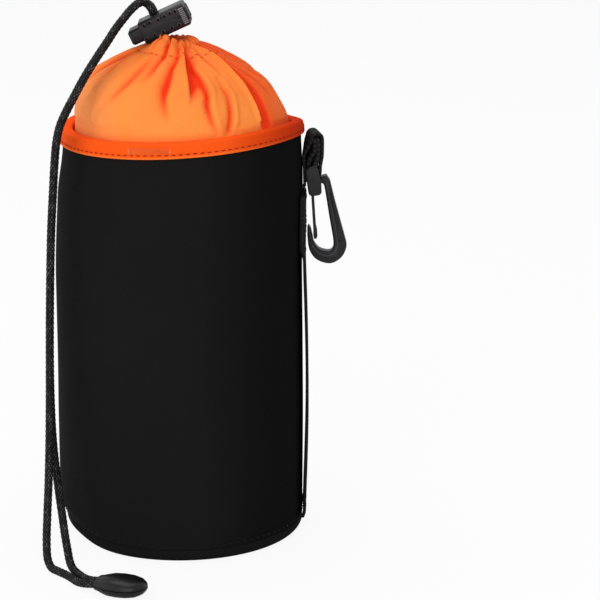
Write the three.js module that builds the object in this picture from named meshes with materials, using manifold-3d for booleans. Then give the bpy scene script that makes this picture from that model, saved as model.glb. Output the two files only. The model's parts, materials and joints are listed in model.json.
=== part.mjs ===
// A soft pouch for a camera lens, standing upright.
// Millimetres, +Z up. The origin is the middle of the base's underside.
// +X is the side that carries the belt strap and the snap hook, -Y faces the viewer.

import * as THREE from 'three';
import { mergeVertices } from 'three/addons/utils/BufferGeometryUtils.js';
import Module from 'manifold-3d';

const wasm = await Module();
wasm.setup();

// Driving sizes, shared clearances

const seamGap = 0.3;          // between pieces that are sewn, seated or run in each other
const cutOverrun = 1.0;       // how far a cutting solid passes the face that it cuts
const sewnOverlap = 0.25;     // how far two layers of one webbing sink together where sewn
const weldDistance = 0.0005;  // vertices closer than this are one vertex

// Pouch body

const wallThickness = 3.0;    // neoprene laminate
const bellyRadius = 48.1;
const hemRadius = 47.8;       // wall at the base seam
const shoulderRadius = 47.2;
const mouthRadius = 46.2;
const bellyHeight = 55;
const wallTop = 164.3;
const shoulderDrop = 26.3;    // below the wall's top, where the belly narrows to the shoulder
const neckDrop = 7.3;         // below the wall's top, where the wall starts to run straight
const baseThickness = 5.0;
const baseCornerRadius = 3.6;
const padThickness = 5.0;
const padCrown = 1.0;          // rounding of its upper edge
const rimTilt = 0.062;        // rise of the mouth per unit of x
const mouthShift = 1.2;       // how far the mouth has drifted towards +x
const straightHeight = 100;   // the pouch stands straight and level up to here
const tiltFade = 15.7;        // above the wall's top, where the tilt has died out in the hood
const mouthSag = 6.2;         // of the mouth where it droops, behind the hook
const sagMiddle = 32;         // degrees round
const sagSpread = 42;         // degrees
const sagDepth = 16;          // below the wall's top, down to where the droop is felt
const roundSegments = 48;

// Rim binding, a folded tape over the mouth

const bindingOuterLeaf = 0.8;
const bindingInnerLeaf = 0.8;
const bindingCrown = 1.2;
const bindingBulge = 0.2;
const bindingOuterDrop = 4.4;  // from the wall's top to the tape's outer edge
const bindingInnerDrop = 2.9;
const crownShares = [0.94, 0.7, 0.36, 0, -0.5, -0.86]; // across the half width of the fold

// Hood, the drawn-up cloth

const clothThickness = 1.0;
const hoodSkirtDrop = 3.3;     // below the wall's top, where the cloth is sewn in
const hoodShoulderLift = 3.3;
const hoodRise = 27.4;         // from the hood's shoulder up to the gathered hem
const foldDepth = 3.3;         // of the deepest of the cloth's main folds
const hemFoldShare = 0.3;      // of the depth that is left at the gathered hem
const channelRadius = 5.2;     // ring of the sewn channel
const channelOuter = 3.3;      // half thickness of the puckered channel
const channelSink = 0.4;       // of its middle under the cloth's edge
const channelSides = 33;
// Across from the gathered hem to the skirt, and up from the shoulder to the hem
const hoodShares = [
  [0.979, 0.0], [0.94, 0.153], [0.865, 0.343], [0.772, 0.511],
  [0.67, 0.639], [0.487, 0.785], [0.301, 0.89], [0.118, 0.97], [0.002, 1.0],
];
// The main folds, anticlockwise from the back: degrees round of each fold's bottom at the
// shoulder and at the hem, and its share of the depth
const foldShares = [
  [-160, -150, 0.4], [-138, -126, 0.45], [-116, -108, 0.4], [-97, -89, 0.6], [-76, -75, 1.0],
  [-60, -55, 0.6], [-39, -41, 1.0], [-20, -23, 0.5], [-2, -4, 0.75], [17, 15, 0.5],
  [33, 35, 0.9], [52, 53, 0.6], [69, 71, 0.85], [84, 90, 0.45], [103, 107, 0.9],
  [121, 126, 0.6], [138, 144, 0.8], [157, 162, 0.55], [180, 182, 0.8],
];
// From a fold's bottom to the next one's: its gentle side, its crest and the lip over the
// next one's steep side, each as its place on the way and its push outwards
const foldSideShares = [[0, -1], [0.3, -0.3], [0.6, 0.12], [0.86, 0.22]];

// Drawcord

const cordDiameter = 3.0;
const cordRadius = cordDiameter / 2;
const cordSpacing = 3.5;       // between the two strands where they leave the lock
const cordSides = 8;
const channelPlay = 0.35;      // round the cord in its channel
const channelSlot = 84;        // degrees of the ring left open where the strands come up
const strandSpreadShare = 0.56; // of the spacing, half of it where the strands leave the cloth
const strandRiseShare = 0.72;   // of the channel's half thickness
const tailSteps = 56;
const ringSteps = 40;

// Free tails of the cord, from the lock over the hood's shoulder and down to the cord end
const frontTailRoute = [
  [-9.11, -1.75, 206.4], [-10.2, -1.85, 208.8], [-12.2, -2.6, 210.9], [-14.4, -3.8, 211.1],
  [-17.5, -5.7, 208.8], [-20.1, -8.2, 206.0], [-23.4, -11.2, 202.0], [-26.3, -14.2, 197.8],
  [-29.2, -17.2, 193.8], [-32.5, -20.5, 189.0], [-35.5, -23.2, 184.2], [-38.4, -25.7, 179.0],
  [-41.2, -27.9, 174.0], [-43.6, -29.5, 168.6], [-45.0, -30.3, 162.5], [-45.9, -30.7, 154.0],
  [-46.7, -30.8, 143.0], [-47.6, -30.8, 130.0], [-48.3, -30.8, 115.0], [-48.8, -31.8, 98.0],
  [-49.1, -33.6, 81.0], [-49.3, -36.3, 63.0], [-49.5, -39.6, 47.4], [-49.9, -43.6, 31.0],
  [-50.3, -47.4, 19.7], [-50.5, -50.9, 9.6], [-50.0, -53.6, 4.0], [-48.3, -57.0, 1.75],
  [-45.4, -60.6, 1.6], [-42.2, -64.3, 1.6], [-39.6, -68.2, 1.65], [-37.2, -72.6, 1.95],
  [-34.0, -76.6, 2.8], [-29.47, -79.24, 3.62], [-24.13, -81.96, 3.93],
];
const backTailRoute = [
  [-9.11, 1.75, 206.4], [-10.2, 1.65, 208.7], [-12.4, 0.9, 210.4], [-14.6, -0.4, 210.4],
  [-17.7, -2.3, 208.1], [-20.3, -4.8, 205.3], [-23.6, -7.8, 201.3], [-26.5, -10.8, 197.1],
  [-29.4, -13.8, 193.1], [-32.7, -17.1, 188.3], [-35.7, -19.8, 183.5], [-38.6, -22.3, 178.3],
  [-41.4, -24.6, 173.2], [-43.9, -26.2, 167.8], [-45.3, -26.9, 161.7], [-46.2, -27.2, 153.5],
  [-47.0, -27.3, 142.5], [-47.9, -27.3, 129.5], [-48.6, -27.3, 114.5], [-49.1, -28.2, 97.5],
  [-49.4, -29.9, 80.5], [-49.3, -32.2, 62.0], [-48.6, -34.7, 45.8], [-46.8, -38.2, 29.0],
  [-45.1, -41.8, 17.8], [-43.9, -45.4, 11.0], [-42.7, -49.2, 6.2], [-41.5, -53.6, 2.8],
  [-39.8, -58.6, 1.65], [-37.4, -63.6, 1.6], [-34.9, -68.2, 1.8], [-32.0, -72.7, 2.6],
  [-27.89, -76.12, 3.62], [-22.54, -78.84, 3.93],
];

// Straps

const webbingThickness = 1.2;
const beltStrapWidth = 25;
const beltStrapDrop = 27.8;    // from the wall's top to the strap's upper end
const beltLoopBottom = 12;     // the strap is free of the wall from here
const beltLoopSewn = 25.5;     // length of strap that is sewn on above the loop
const beltLoopBow = 0.75;
const hookStrapWidth = 10;
const hookStrapSpace = 2.8;    // between the two straps on the wall
const hookStrapLeaveDrop = 13.8; // from the wall's top to where the webbing leaves the wall
const hookStrapCrownDrop = 6.3;  // to the centre of the fold over the top
const hookStrapTailDrop = 1.5;   // from the fold's centre to the end of the sewn tail
const climbShares = [0.45, 0.5];        // across and up between the wall and the fold
// The sewn tail inside the loop: across and up in radii of the wrap
const tailTurnShares = [0.86, 0.8];
const tailCrossShare = 0.5;
const tailRiseShare = 0.6;

// Cord lock, in its own frame: x along the plunger, z along the cords

const lockTilt = 25;           // degrees
const lockSleeveLeft = 7.2;    // from the cord hole to the open end
const lockSleeveRight = 11.9;  // from the cord hole to the closed end
const lockWall = 1.25;
const lockEndWall = 1.5;
const lockCorner = 1.9;
const plungerHeight = 5.9;
const plungerDepth = 9.8;
const plungerOut = 4.8;
const plungerTravel = 3.0;
const plungerCorner = 1.3;
const plungerEdge = 0.65;
const plungerBehindSlot = 3.6; // from the cord slot to the end that the spring pushes
const runningGap = 0.25;
const lockRibCount = 8;
const lockRibHeight = 0.5;
const lockRibWidth = 0.75;
const dimpleRadius = 0.95;
const dimpleDepth = 0.5;
// Along the sleeve, of the side that each lies on, and up, of the half height
const dimpleShares = [[-0.5, 0.52], [0.2, 0.52], [-0.1, -0.52], [0.78, -0.1]];
const springWire = 0.5;
const springRadius = 1.9;
const springTurns = 3.5;
const spigotRadius = 1.1;
const spigotLength = 1.4;
const lockSideStep = 1.9;      // beyond the channel's ring
const lockRise = 7.5;          // above the channel's ring

// Cord end, two halves that close over the knots

const endLength = 20.0;
const endHalfWidth = 7.4;
const endHalfHeight = 4.1;
const endSplit = 0.3;
// Along the half length, and across the half width
const endShares = [
  [-1, 0], [-1, 0.65], [-0.9, 0.68], [-0.72, 0.8], [-0.45, 0.95], [-0.1, 1.0],
  [0.3, 0.97], [0.62, 0.84], [0.84, 0.6], [0.96, 0.33], [1, 0],
];
const knotRadius = 2.3;
const knotFlatShare = 0.86;     // of its radius, across the cords
const knotSeat = 4.2;           // from the middle of the cord end back to the cords' ends
const endPlace = { x: -19.6, y: -82.3, z: 4.15 };
const endYaw = -27;             // degrees
const endPitch = 3;             // degrees

// Snap hook, in its own frame: x across, z up, the strap bar at the origin

const hookLean = 9;             // degrees
const hookReach = 37.6;         // from the bar's axis to the bottom
const hookWidth = 14.9;
const hookDepth = 5.0;
const hookEdge = 0.5;
const barRadius = 1.2;
const cheekThickness = 2.4;
const headLeft = 3.6;
const headRight = 1.6;
const headTop = 2.6;
const headBottom = 8.6;
const headCorner = 1.6;
const shoulderTop = 2.5;        // top of the frame's shoulder below the bar's axis
const webbingPlay = 0.75;       // under the webbing, to the floor of the fork
const gateThickness = 1.1;
const gateEdge = 0.2;
const gateWidth = 4.2;
const gateBeadRadius = 1.0;
const gatePivotInset = 1.4;     // from the head's left side to the gate's pivot
const gatePivotSink = 0.45;     // from the head's underside up to the pivot
const gateOverlap = 5.7;        // of its tip past the top of the nose
const gateTipBulge = 0.35;
const grooveDepth = 0.8;
const grooveWidthShare = 0.34;  // of the spine's width
const barStandoff = 4.658;      // from the widest wall beside the hook to the bar's axis
const barDrop = 19.5;           // from the wall's top to the bar's axis
// The outer edge, the nose and the inner edge of the bent bar, across its width and
// down its reach
const hookOuterShares = [
  [0.353, 0.13], [0.395, 0.346], [0.497, 0.73], [0.51, 0.845], [0.335, 0.952], [0.02, 1.0],
  [-0.32, 0.936], [-0.47, 0.815], [-0.46, 0.66],
];
const hookNoseShares = [[-0.43, 0.59], [-0.39, 0.565], [-0.345, 0.59]];
const hookInnerShares = [
  [-0.325, 0.69], [-0.318, 0.752], [-0.215, 0.826], [-0.02, 0.866], [0.125, 0.857],
  [0.193, 0.77], [0.187, 0.5], [0.187, 0.21], [0.168, 0.148],
];
const shoulderShare = 0.28;     // of the width, where the shoulder meets the spine
const rootShare = 0.84;         // of the head's height, how far down the bar is rooted in it
const rootInnerShare = 0.56;
// The spine's groove: where it starts and ends, its middle at both, and the spine's edges
const grooveTopShare = 0.25;
const grooveBottomShare = 0.78;
const grooveMiddleShares = [0.28, 0.37];
const spineShares = [0.19, 0.4];
// The swollen tip of the gate, down its reach
const gateTipShares = { heelOut: 0.74, bulgeOut: 0.82, bulgeEnd: 0.94, backIn: 0.8, backEnd: 0.92 };
const gateBackShare = 1 / 3;    // of the bulge, on the outer side

// Places worked out from the sizes above

const shoulderHeight = wallTop - shoulderDrop;
const neckHeight = wallTop - neckDrop;
const tiltEnds = wallTop + tiltFade;
const hoodShoulderHeight = wallTop + hoodShoulderLift;
const channelHeight = hoodShoulderHeight + hoodRise - channelSink;
const beltStrapBottom = baseThickness + 3 * seamGap;
const beltStrapTop = wallTop - beltStrapDrop;
const beltLoopTop = beltStrapTop - beltLoopSewn;
const hookStrapSeamBottom = beltStrapTop + hookStrapSpace;
const hookStrapLeaves = wallTop - hookStrapLeaveDrop;
const hookStrapCrown = wallTop - hookStrapCrownDrop;
const hookStrapTailTop = hookStrapCrown - hookStrapTailDrop;
const lockPlace = { x: -channelRadius - lockSideStep, y: 0, z: channelHeight + lockRise };
const gatePivotSide = headLeft - gatePivotInset;
const gatePivotDrop = headBottom - gatePivotSink;
const barHeight = wallTop - barDrop;

const degrees = Math.PI / 180;

// Colours

const paint = (colour, roughness, metalness = 0) =>
  new THREE.MeshStandardMaterial({ color: colour, roughness, metalness });
const neoprene = () => paint(0x1b1918, 0.9);
const orangeCloth = () => paint(0xf58242, 0.62);
const orangeTape = () => paint(0xe9602c, 0.78);
const foam = () => paint(0x2c2b2b, 0.95);
const webbing = () => paint(0x171615, 0.85);
const braid = () => paint(0x1a1a1a, 0.8);
const darkPlastic = () => paint(0x2b2b2c, 0.5);
const springSteel = () => paint(0xb9bcc0, 0.3, 1);

// Geometry helpers

const flat = (x, y) => new THREE.Vector2(x, y);
const point = (x, y, z) => new THREE.Vector3(x, y, z);
const shapeOf = (points) => new THREE.Shape(points);

function signedVolume(position, index) {
  const [a, b, c] = [point(0, 0, 0), point(0, 0, 0), point(0, 0, 0)];
  let sum = 0;
  for (let i = 0; i < index.length; i += 3) {
    a.fromBufferAttribute(position, index[i]);
    b.fromBufferAttribute(position, index[i + 1]);
    c.fromBufferAttribute(position, index[i + 2]);
    sum += a.dot(b.cross(c));
  }
  return sum;
}

// One closed mesh with shared vertices, no empty triangles, faces pointing out
function closed(geometry) {
  const bare = geometry.clone();
  for (const name of Object.keys(bare.attributes)) {
    if (name !== 'position') bare.deleteAttribute(name);
  }
  const merged = mergeVertices(bare, weldDistance);
  const old = merged.index.array;
  const kept = [];
  for (let i = 0; i < old.length; i += 3) {
    const [a, b, c] = [old[i], old[i + 1], old[i + 2]];
    if (a !== b && b !== c && c !== a) kept.push(a, b, c);
  }
  if (signedVolume(merged.attributes.position, kept) < 0) kept.reverse();
  merged.setIndex(kept);
  merged.clearGroups();
  return merged;
}

function solid(geometry) {
  const whole = closed(geometry);
  return new wasm.Manifold(new wasm.Mesh({
    numProp: 3,
    vertProperties: new Float32Array(whole.attributes.position.array),
    triVerts: new Uint32Array(whole.index.array),
  }));
}

function geometryOf(manifold) {
  const mesh = manifold.getMesh();
  const geometry = new THREE.BufferGeometry();
  geometry.setAttribute('position', new THREE.BufferAttribute(new Float32Array(mesh.vertProperties), 3));
  geometry.setIndex(new THREE.BufferAttribute(new Uint32Array(mesh.triVerts), 1));
  return geometry;
}

// Changes each vertex of a geometry with a function of its point
function reshape(geometry, change) {
  const position = geometry.attributes.position;
  const p = point(0, 0, 0);
  for (let i = 0; i < position.count; i += 1) {
    p.fromBufferAttribute(position, i);
    change(p);
    position.setXYZ(i, p.x, p.y, p.z);
  }
  return geometry;
}

// A profile of (radius, height) points turned about the Z axis
function turned(profile, segments = roundSegments) {
  return closed(new THREE.LatheGeometry(profile, segments).rotateX(Math.PI / 2));
}

const loop = (points) => [...points, points[0].clone()];

function arcPoints(centreX, centreY, radius, fromDegrees, toDegrees, count) {
  return Array.from({ length: count + 1 }, (_, i) => {
    const angle = (fromDegrees + ((toDegrees - fromDegrees) * i) / count) * degrees;
    return flat(centreX + radius * Math.cos(angle), centreY + radius * Math.sin(angle));
  });
}

function polygon(radius, sides) {
  return shapeOf(Array.from({ length: sides }, (_, i) => {
    const angle = (2 * Math.PI * i) / sides;
    return flat(radius * Math.cos(angle), radius * Math.sin(angle));
  }));
}

function roundedRectangle(left, right, bottom, top, corner, cornerSteps = 3) {
  return shapeOf([
    ...arcPoints(right - corner, bottom + corner, corner, -90, 0, cornerSteps),
    ...arcPoints(right - corner, top - corner, corner, 0, 90, cornerSteps),
    ...arcPoints(left + corner, top - corner, corner, 90, 180, cornerSteps),
    ...arcPoints(left + corner, bottom + corner, corner, 180, 270, cornerSteps),
  ]);
}

// A shape raised by its depth, its two faces bevelled without growing the outline
function raised(shape, depth, bevel = 0) {
  return new THREE.ExtrudeGeometry(shape, {
    depth: depth - 2 * bevel,
    bevelEnabled: bevel > 0,
    bevelThickness: bevel,
    bevelSize: bevel,
    bevelOffset: -bevel,
    bevelSegments: 1,
    steps: 1,
  }).translate(0, 0, bevel);
}

// A shape in x and z that is as deep as given, its middle on y = 0
function acrossY(shape, depth, bevel = 0) {
  return raised(shape, depth, bevel).rotateX(Math.PI / 2).translate(0, depth / 2, 0);
}

// A shape in y and z that runs along x from one place to another
function alongX(shape, from, to, bevel = 0) {
  const turn = new THREE.Matrix4().makeBasis(point(0, 1, 0), point(0, 0, 1), point(1, 0, 0));
  return raised(shape, to - from, bevel).applyMatrix4(turn).translate(from, 0, 0);
}

function block(xFrom, xTo, yFrom, yTo, zFrom, zTo) {
  return new THREE.BoxGeometry(xTo - xFrom, yTo - yFrom, zTo - zFrom)
    .translate((xFrom + xTo) / 2, (yFrom + yTo) / 2, (zFrom + zTo) / 2);
}

function rodAlongY(radius, length, x, z, sides = 16) {
  return new THREE.CylinderGeometry(radius, radius, length, sides).translate(x, 0, z);
}

function tube(route, radius, steps, sides = cordSides) {
  const extrudePath = new THREE.CatmullRomCurve3(route, false, 'centripetal');
  return new THREE.ExtrudeGeometry(polygon(radius, sides), { steps, bevelEnabled: false, extrudePath });
}

function named(name, geometry, material) {
  const mesh = new THREE.Mesh(closed(geometry), material);
  mesh.name = name;
  return mesh;
}

// The mouth has drifted sideways, is tilted and droops behind the hook, and all this dies
// out above and below it
const driftAt = (height) => mouthShift
  * Math.min(THREE.MathUtils.smoothstep(height, straightHeight, wallTop),
    1 - THREE.MathUtils.smoothstep(height, wallTop, tiltEnds));

function lean(p) {
  const below = (p.z - straightHeight) / (wallTop - straightHeight);
  const above = (tiltEnds - p.z) / (tiltEnds - wallTop);
  const tilt = rimTilt * p.x * THREE.MathUtils.clamp(Math.min(below, above), 0, 1);
  const away = (Math.atan2(p.y, p.x) / degrees - sagMiddle) / sagSpread;
  const felt = THREE.MathUtils.clamp(Math.min((p.z - wallTop) / sagDepth + 1, above), 0, 1);
  p.x += driftAt(p.z);
  p.z += tilt - mouthSag * Math.exp(-away * away) * felt;
}

// Pouch body

const wallBottom = baseThickness + seamGap;
const wallCurve = new THREE.SplineCurve([
  flat(hemRadius, wallBottom),
  flat(bellyRadius, bellyHeight),
  flat(shoulderRadius, shoulderHeight),
  flat(mouthRadius, neckHeight),
]).getPoints(6);

function wallRadiusAt(height) {
  for (let i = 1; i < wallCurve.length; i += 1) {
    const [low, high] = [wallCurve[i - 1], wallCurve[i]];
    if (height <= high.y) {
      return THREE.MathUtils.mapLinear(Math.max(height, low.y), low.y, high.y, low.x, high.x);
    }
  }
  return mouthRadius;
}

const sideAt = (height) => wallRadiusAt(height) + driftAt(height);
const besideHook = [barHeight - hookReach, shoulderHeight, barHeight].map(sideAt);
const barPlace = { x: Math.max(...besideHook) + barStandoff, y: 0, z: barHeight };

function makeWall() {
  const outside = [...wallCurve, flat(mouthRadius, wallTop)];
  const inside = outside.map((p) => flat(p.x - wallThickness, p.y)).reverse();
  return reshape(turned(loop([...outside, ...inside])), lean);
}

function makeBase() {
  const corner = arcPoints(hemRadius - baseCornerRadius, baseCornerRadius, baseCornerRadius, -90, 0, 3);
  return turned([flat(0, 0), ...corner, flat(hemRadius, baseThickness), flat(0, baseThickness)]);
}

function makePad() {
  const radius = hemRadius - wallThickness - seamGap;
  const low = baseThickness + seamGap;
  const edge = arcPoints(radius - padCrown, low + padThickness - padCrown, padCrown, 0, 90, 2);
  return turned([flat(0, low), flat(radius, low), ...edge, flat(0, low + padThickness)], 40);
}

function makeBinding() {
  const outerFace = mouthRadius + seamGap;
  const innerFace = mouthRadius - wallThickness - seamGap;
  const outer = outerFace + bindingOuterLeaf;
  const inner = innerFace - bindingInnerLeaf;
  const bottom = wallTop - bindingOuterDrop;
  const underCrown = wallTop + seamGap;
  const top = underCrown + bindingCrown;
  const half = (outer - inner) / 2;
  const crown = crownShares.map((share) => {
    const rise = Math.sqrt(1 - share * share);
    return flat((outer + inner) / 2 + half * share, underCrown + (top - underCrown) * rise);
  });
  return reshape(turned(loop([
    flat(outerFace, bottom),
    flat(outer, bottom),
    flat(outer + bindingBulge, (bottom + underCrown) / 2),
    flat(outer, underCrown - bindingBulge),
    ...crown,
    flat(inner, underCrown - bindingBulge),
    flat(inner, wallTop - bindingInnerDrop),
    flat(innerFace, wallTop - bindingInnerDrop),
    flat(innerFace, underCrown),
    flat(outerFace, underCrown),
  ])), lean);
}

// Hood: a cone with a full shoulder, its folds gathered at the hem that the cord draws shut

const hoodSkirtRadius = mouthRadius - wallThickness - 2 * seamGap - bindingInnerLeaf;

// Moves a point of the plain cone to its place on its fold
function fold(p) {
  const climb = (p.z - hoodShoulderHeight) / hoodRise;
  const rise = THREE.MathUtils.clamp(climb, 0, 1);
  const column = Math.round((THREE.MathUtils.euclideanModulo(Math.atan2(p.y, p.x), 2 * Math.PI)
    / (2 * Math.PI)) * foldShares.length * foldSideShares.length);
  const here = foldShares[Math.floor(column / foldSideShares.length) % foldShares.length];
  const next = foldShares[Math.floor(column / foldSideShares.length + 1) % foldShares.length];
  const bottom = THREE.MathUtils.lerp(here[0], here[1], rise);
  const gap = THREE.MathUtils.euclideanModulo(THREE.MathUtils.lerp(next[0], next[1], rise) - bottom, 360);
  const [place, side] = foldSideShares[column % foldSideShares.length];
  const angle = (bottom + gap * place) * degrees;
  const swell = THREE.MathUtils.smoothstep(rise, 0, 0.4) * (1 - THREE.MathUtils.smoothstep(rise, 0.7, 1));
  const depth = foldDepth * THREE.MathUtils.lerp(here[2], next[2], place);
  const push = depth * side * (swell + hemFoldShare * rise);
  const radius = Math.hypot(p.x, p.y) + push * (1 - rise / 2);
  p.set(radius * Math.cos(angle), radius * Math.sin(angle), p.z + (push * rise) / 2);
}

function offsetInward(points, distance) {
  return points.map((p, i) => {
    const before = points[Math.max(i - 1, 0)];
    const after = points[Math.min(i + 1, points.length - 1)];
    const along = flat(after.x - before.x, after.y - before.y).normalize();
    return flat(p.x - along.y * distance, p.y + along.x * distance);
  });
}

// The closed-in cord: down out of the lock, once round the channel, and up again
const lockTurn = lockTilt * degrees;
const intoWorld = (x, z) => point(
  lockPlace.x + x * Math.cos(lockTurn) - z * Math.sin(lockTurn),
  lockPlace.y,
  lockPlace.z + x * Math.sin(lockTurn) + z * Math.cos(lockTurn),
);

function ringRoute(overrun = 0) {
  const lockTop = intoWorld(0, lockSleeveHeight / 2 + overrun);
  const lockMiddle = intoWorld(0, 0);
  const lockUnder = intoWorld(0, -lockSleeveHeight / 2 - seamGap);
  const beside = (p, side) => point(p.x, (side * cordSpacing) / 2, p.z);
  const rise = (side) => [
    beside(lockTop, side), beside(lockMiddle, side), beside(lockUnder, side),
    point(-channelRadius, side * cordSpacing * strandSpreadShare,
      channelHeight + channelOuter * strandRiseShare),
  ];
  const turnSteps = 12;
  const slotAngle = channelSlot * degrees;
  const ring = Array.from({ length: turnSteps + 1 }, (_, i) => {
    const angle = Math.PI + slotAngle / 2 + ((2 * Math.PI - slotAngle) * i) / turnSteps;
    return point(channelRadius * Math.cos(angle), channelRadius * Math.sin(angle), channelHeight);
  });
  return [...rise(-1), ...ring, ...rise(1).reverse()];
}

function makeHood() {
  const outside = [flat(hoodSkirtRadius, wallTop - hoodSkirtDrop)];
  for (const [radiusShare, riseShare] of hoodShares) {
    const radius = THREE.MathUtils.lerp(channelRadius + channelOuter, hoodSkirtRadius, radiusShare);
    outside.push(flat(radius, hoodShoulderHeight + hoodRise * riseShare));
  }
  const inside = offsetInward(outside, clothThickness)
    .filter((_, i) => i < 2 || i % 2 === 1)
    .reverse();
  const segments = foldShares.length * foldSideShares.length;
  const cone = reshape(turned(loop([...outside, ...inside]), segments), (p) => {
    fold(p);
    lean(p);
  });
  const hem = turned(arcPoints(channelRadius, channelHeight, channelOuter, 0, 360, 10), channelSides);
  const channel = tube(ringRoute(cutOverrun), cordRadius + channelPlay, ringSteps);
  return geometryOf(solid(cone).add(solid(hem)).subtract(solid(channel)));
}

function makeDrawcordRing() {
  return tube(ringRoute(), cordRadius, ringSteps);
}

function makeTail(route) {
  return tube(route.map(([x, y, z]) => point(x, y, z)), cordRadius, tailSteps);
}

// Straps

function makeBeltStrap() {
  const heightSteps = 12;
  const widthSteps = 6;
  const corners = [];
  for (let i = 0; i <= heightSteps; i += 1) {
    const height = THREE.MathUtils.lerp(beltStrapBottom, beltStrapTop, i / heightSteps);
    const free = THREE.MathUtils.clamp((height - beltLoopBottom) / (beltLoopTop - beltLoopBottom), 0, 1);
    const inner = sideAt(height) + seamGap + beltLoopBow * Math.sin(Math.PI * free);
    for (const radius of [inner, inner + webbingThickness]) {
      for (let j = 0; j <= widthSteps; j += 1) {
        const angle = ((j / widthSteps - 0.5) * beltStrapWidth) / inner;
        corners.push(radius * Math.cos(angle), radius * Math.sin(angle), height);
      }
    }
  }
  const row = widthSteps + 1;
  const at = (i, layer, j) => i * 2 * row + layer * row + j;
  const index = [];
  const quad = (a, b, c, d) => index.push(a, b, c, a, c, d);
  for (let i = 0; i < heightSteps; i += 1) {
    for (let j = 0; j < widthSteps; j += 1) {
      quad(at(i, 1, j), at(i, 1, j + 1), at(i + 1, 1, j + 1), at(i + 1, 1, j));
      quad(at(i, 0, j + 1), at(i, 0, j), at(i + 1, 0, j), at(i + 1, 0, j + 1));
    }
    quad(at(i, 0, 0), at(i, 1, 0), at(i + 1, 1, 0), at(i + 1, 0, 0));
    quad(at(i, 1, widthSteps), at(i, 0, widthSteps), at(i + 1, 0, widthSteps), at(i + 1, 1, widthSteps));
  }
  for (let j = 0; j < widthSteps; j += 1) {
    quad(at(0, 0, j), at(0, 0, j + 1), at(0, 1, j + 1), at(0, 1, j));
    quad(at(heightSteps, 0, j + 1), at(heightSteps, 0, j), at(heightSteps, 1, j), at(heightSteps, 1, j + 1));
  }
  const geometry = new THREE.BufferGeometry();
  geometry.setAttribute('position', new THREE.Float32BufferAttribute(corners, 3));
  geometry.setIndex(index);
  return geometry;
}

// Webbing seen on edge: a line of points thickened to both sides
function ribbon(line, thickness, width) {
  const left = offsetInward(line, thickness / 2);
  const right = offsetInward(line, -thickness / 2).reverse();
  return acrossY(shapeOf([...left, ...right]), width);
}

function makeHookStrap() {
  const wrap = barRadius + seamGap + webbingThickness / 2;
  const onWall = sideAt(hookStrapSeamBottom) + seamGap + webbingThickness / 2;
  const climb = new THREE.SplineCurve([
    flat(onWall, hookStrapLeaves),
    flat(THREE.MathUtils.lerp(onWall, barPlace.x - wrap, climbShares[0]),
      THREE.MathUtils.lerp(hookStrapLeaves, hookStrapCrown, climbShares[1])),
    flat(barPlace.x - wrap, hookStrapCrown),
  ]).getPoints(5);
  const carried = ribbon([
    flat(onWall, hookStrapSeamBottom),
    ...climb.slice(0, -1),
    ...arcPoints(barPlace.x, hookStrapCrown, wrap, 180, 0, 8),
    ...arcPoints(barPlace.x, barPlace.z, wrap, 0, -180, 10),
  ], webbingThickness, hookStrapWidth);
  const inner = barPlace.x + wrap - webbingThickness + sewnOverlap;
  const halfway = (barPlace.z + hookStrapTailTop) / 2;
  const tail = ribbon(new THREE.SplineCurve([
    flat(barPlace.x - wrap, barPlace.z),
    flat(barPlace.x - wrap * tailTurnShares[0], barPlace.z + wrap * tailTurnShares[1]),
    flat((barPlace.x + inner) / 2, halfway - wrap * tailCrossShare),
    flat(inner, halfway + wrap * tailRiseShare),
    flat(inner, hookStrapTailTop),
  ]).getPoints(10), webbingThickness, hookStrapWidth);
  return geometryOf(solid(carried).add(solid(tail)));
}

// Cord lock

const lockDepth = plungerDepth + 2 * (runningGap + lockWall);
const lockSleeveHeight = plungerHeight + 2 * (runningGap + lockWall);
const cordSlotHalf = cordSpacing / 2 + cordRadius + seamGap;

function makeLockSleeve() {
  const [halfDepth, halfHeight] = [lockDepth / 2, lockSleeveHeight / 2];
  const outline = roundedRectangle(-halfDepth, halfDepth, -halfHeight, halfHeight, lockCorner);
  let sleeve = solid(alongX(outline, -lockSleeveLeft, lockSleeveRight, lockRibHeight));
  const boreHalf = [plungerDepth / 2 + runningGap, plungerHeight / 2 + runningGap];
  const bore = roundedRectangle(-boreHalf[0], boreHalf[0], -boreHalf[1], boreHalf[1], plungerCorner);
  sleeve = sleeve.subtract(solid(alongX(bore, -lockSleeveLeft - cutOverrun, lockSleeveRight - lockEndWall)));
  const cordHole = roundedRectangle(-cordRadius - seamGap, cordRadius + seamGap,
    -cordSlotHalf, cordSlotHalf, cordRadius, 3);
  sleeve = sleeve.subtract(solid(raised(cordHole, lockSleeveHeight + 2 * cutOverrun)
    .translate(0, 0, -halfHeight - cutOverrun)));
  const ribPitch = (lockDepth - 2 * lockCorner) / (lockRibCount - 1);
  for (let i = 0; i < lockRibCount; i += 1) {
    const y = -halfDepth + lockCorner + i * ribPitch;
    const ribHalf = halfHeight - lockCorner;
    sleeve = sleeve.add(solid(block(lockSleeveRight - lockRibHeight, lockSleeveRight + lockRibHeight,
      y - lockRibWidth / 2, y + lockRibWidth / 2, -ribHalf, ribHalf)));
  }
  for (const [along, up] of dimpleShares) {
    const x = along * (along < 0 ? lockSleeveLeft : lockSleeveRight);
    sleeve = sleeve.subtract(solid(rodAlongY(dimpleRadius, 2 * dimpleDepth, x, halfHeight * up, 10)
      .translate(0, -halfDepth, 0)));
  }
  return geometryOf(sleeve);
}

const plungerInner = cordRadius + seamGap + plungerBehindSlot;
const plungerOuter = lockSleeveLeft + plungerOut;

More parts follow.
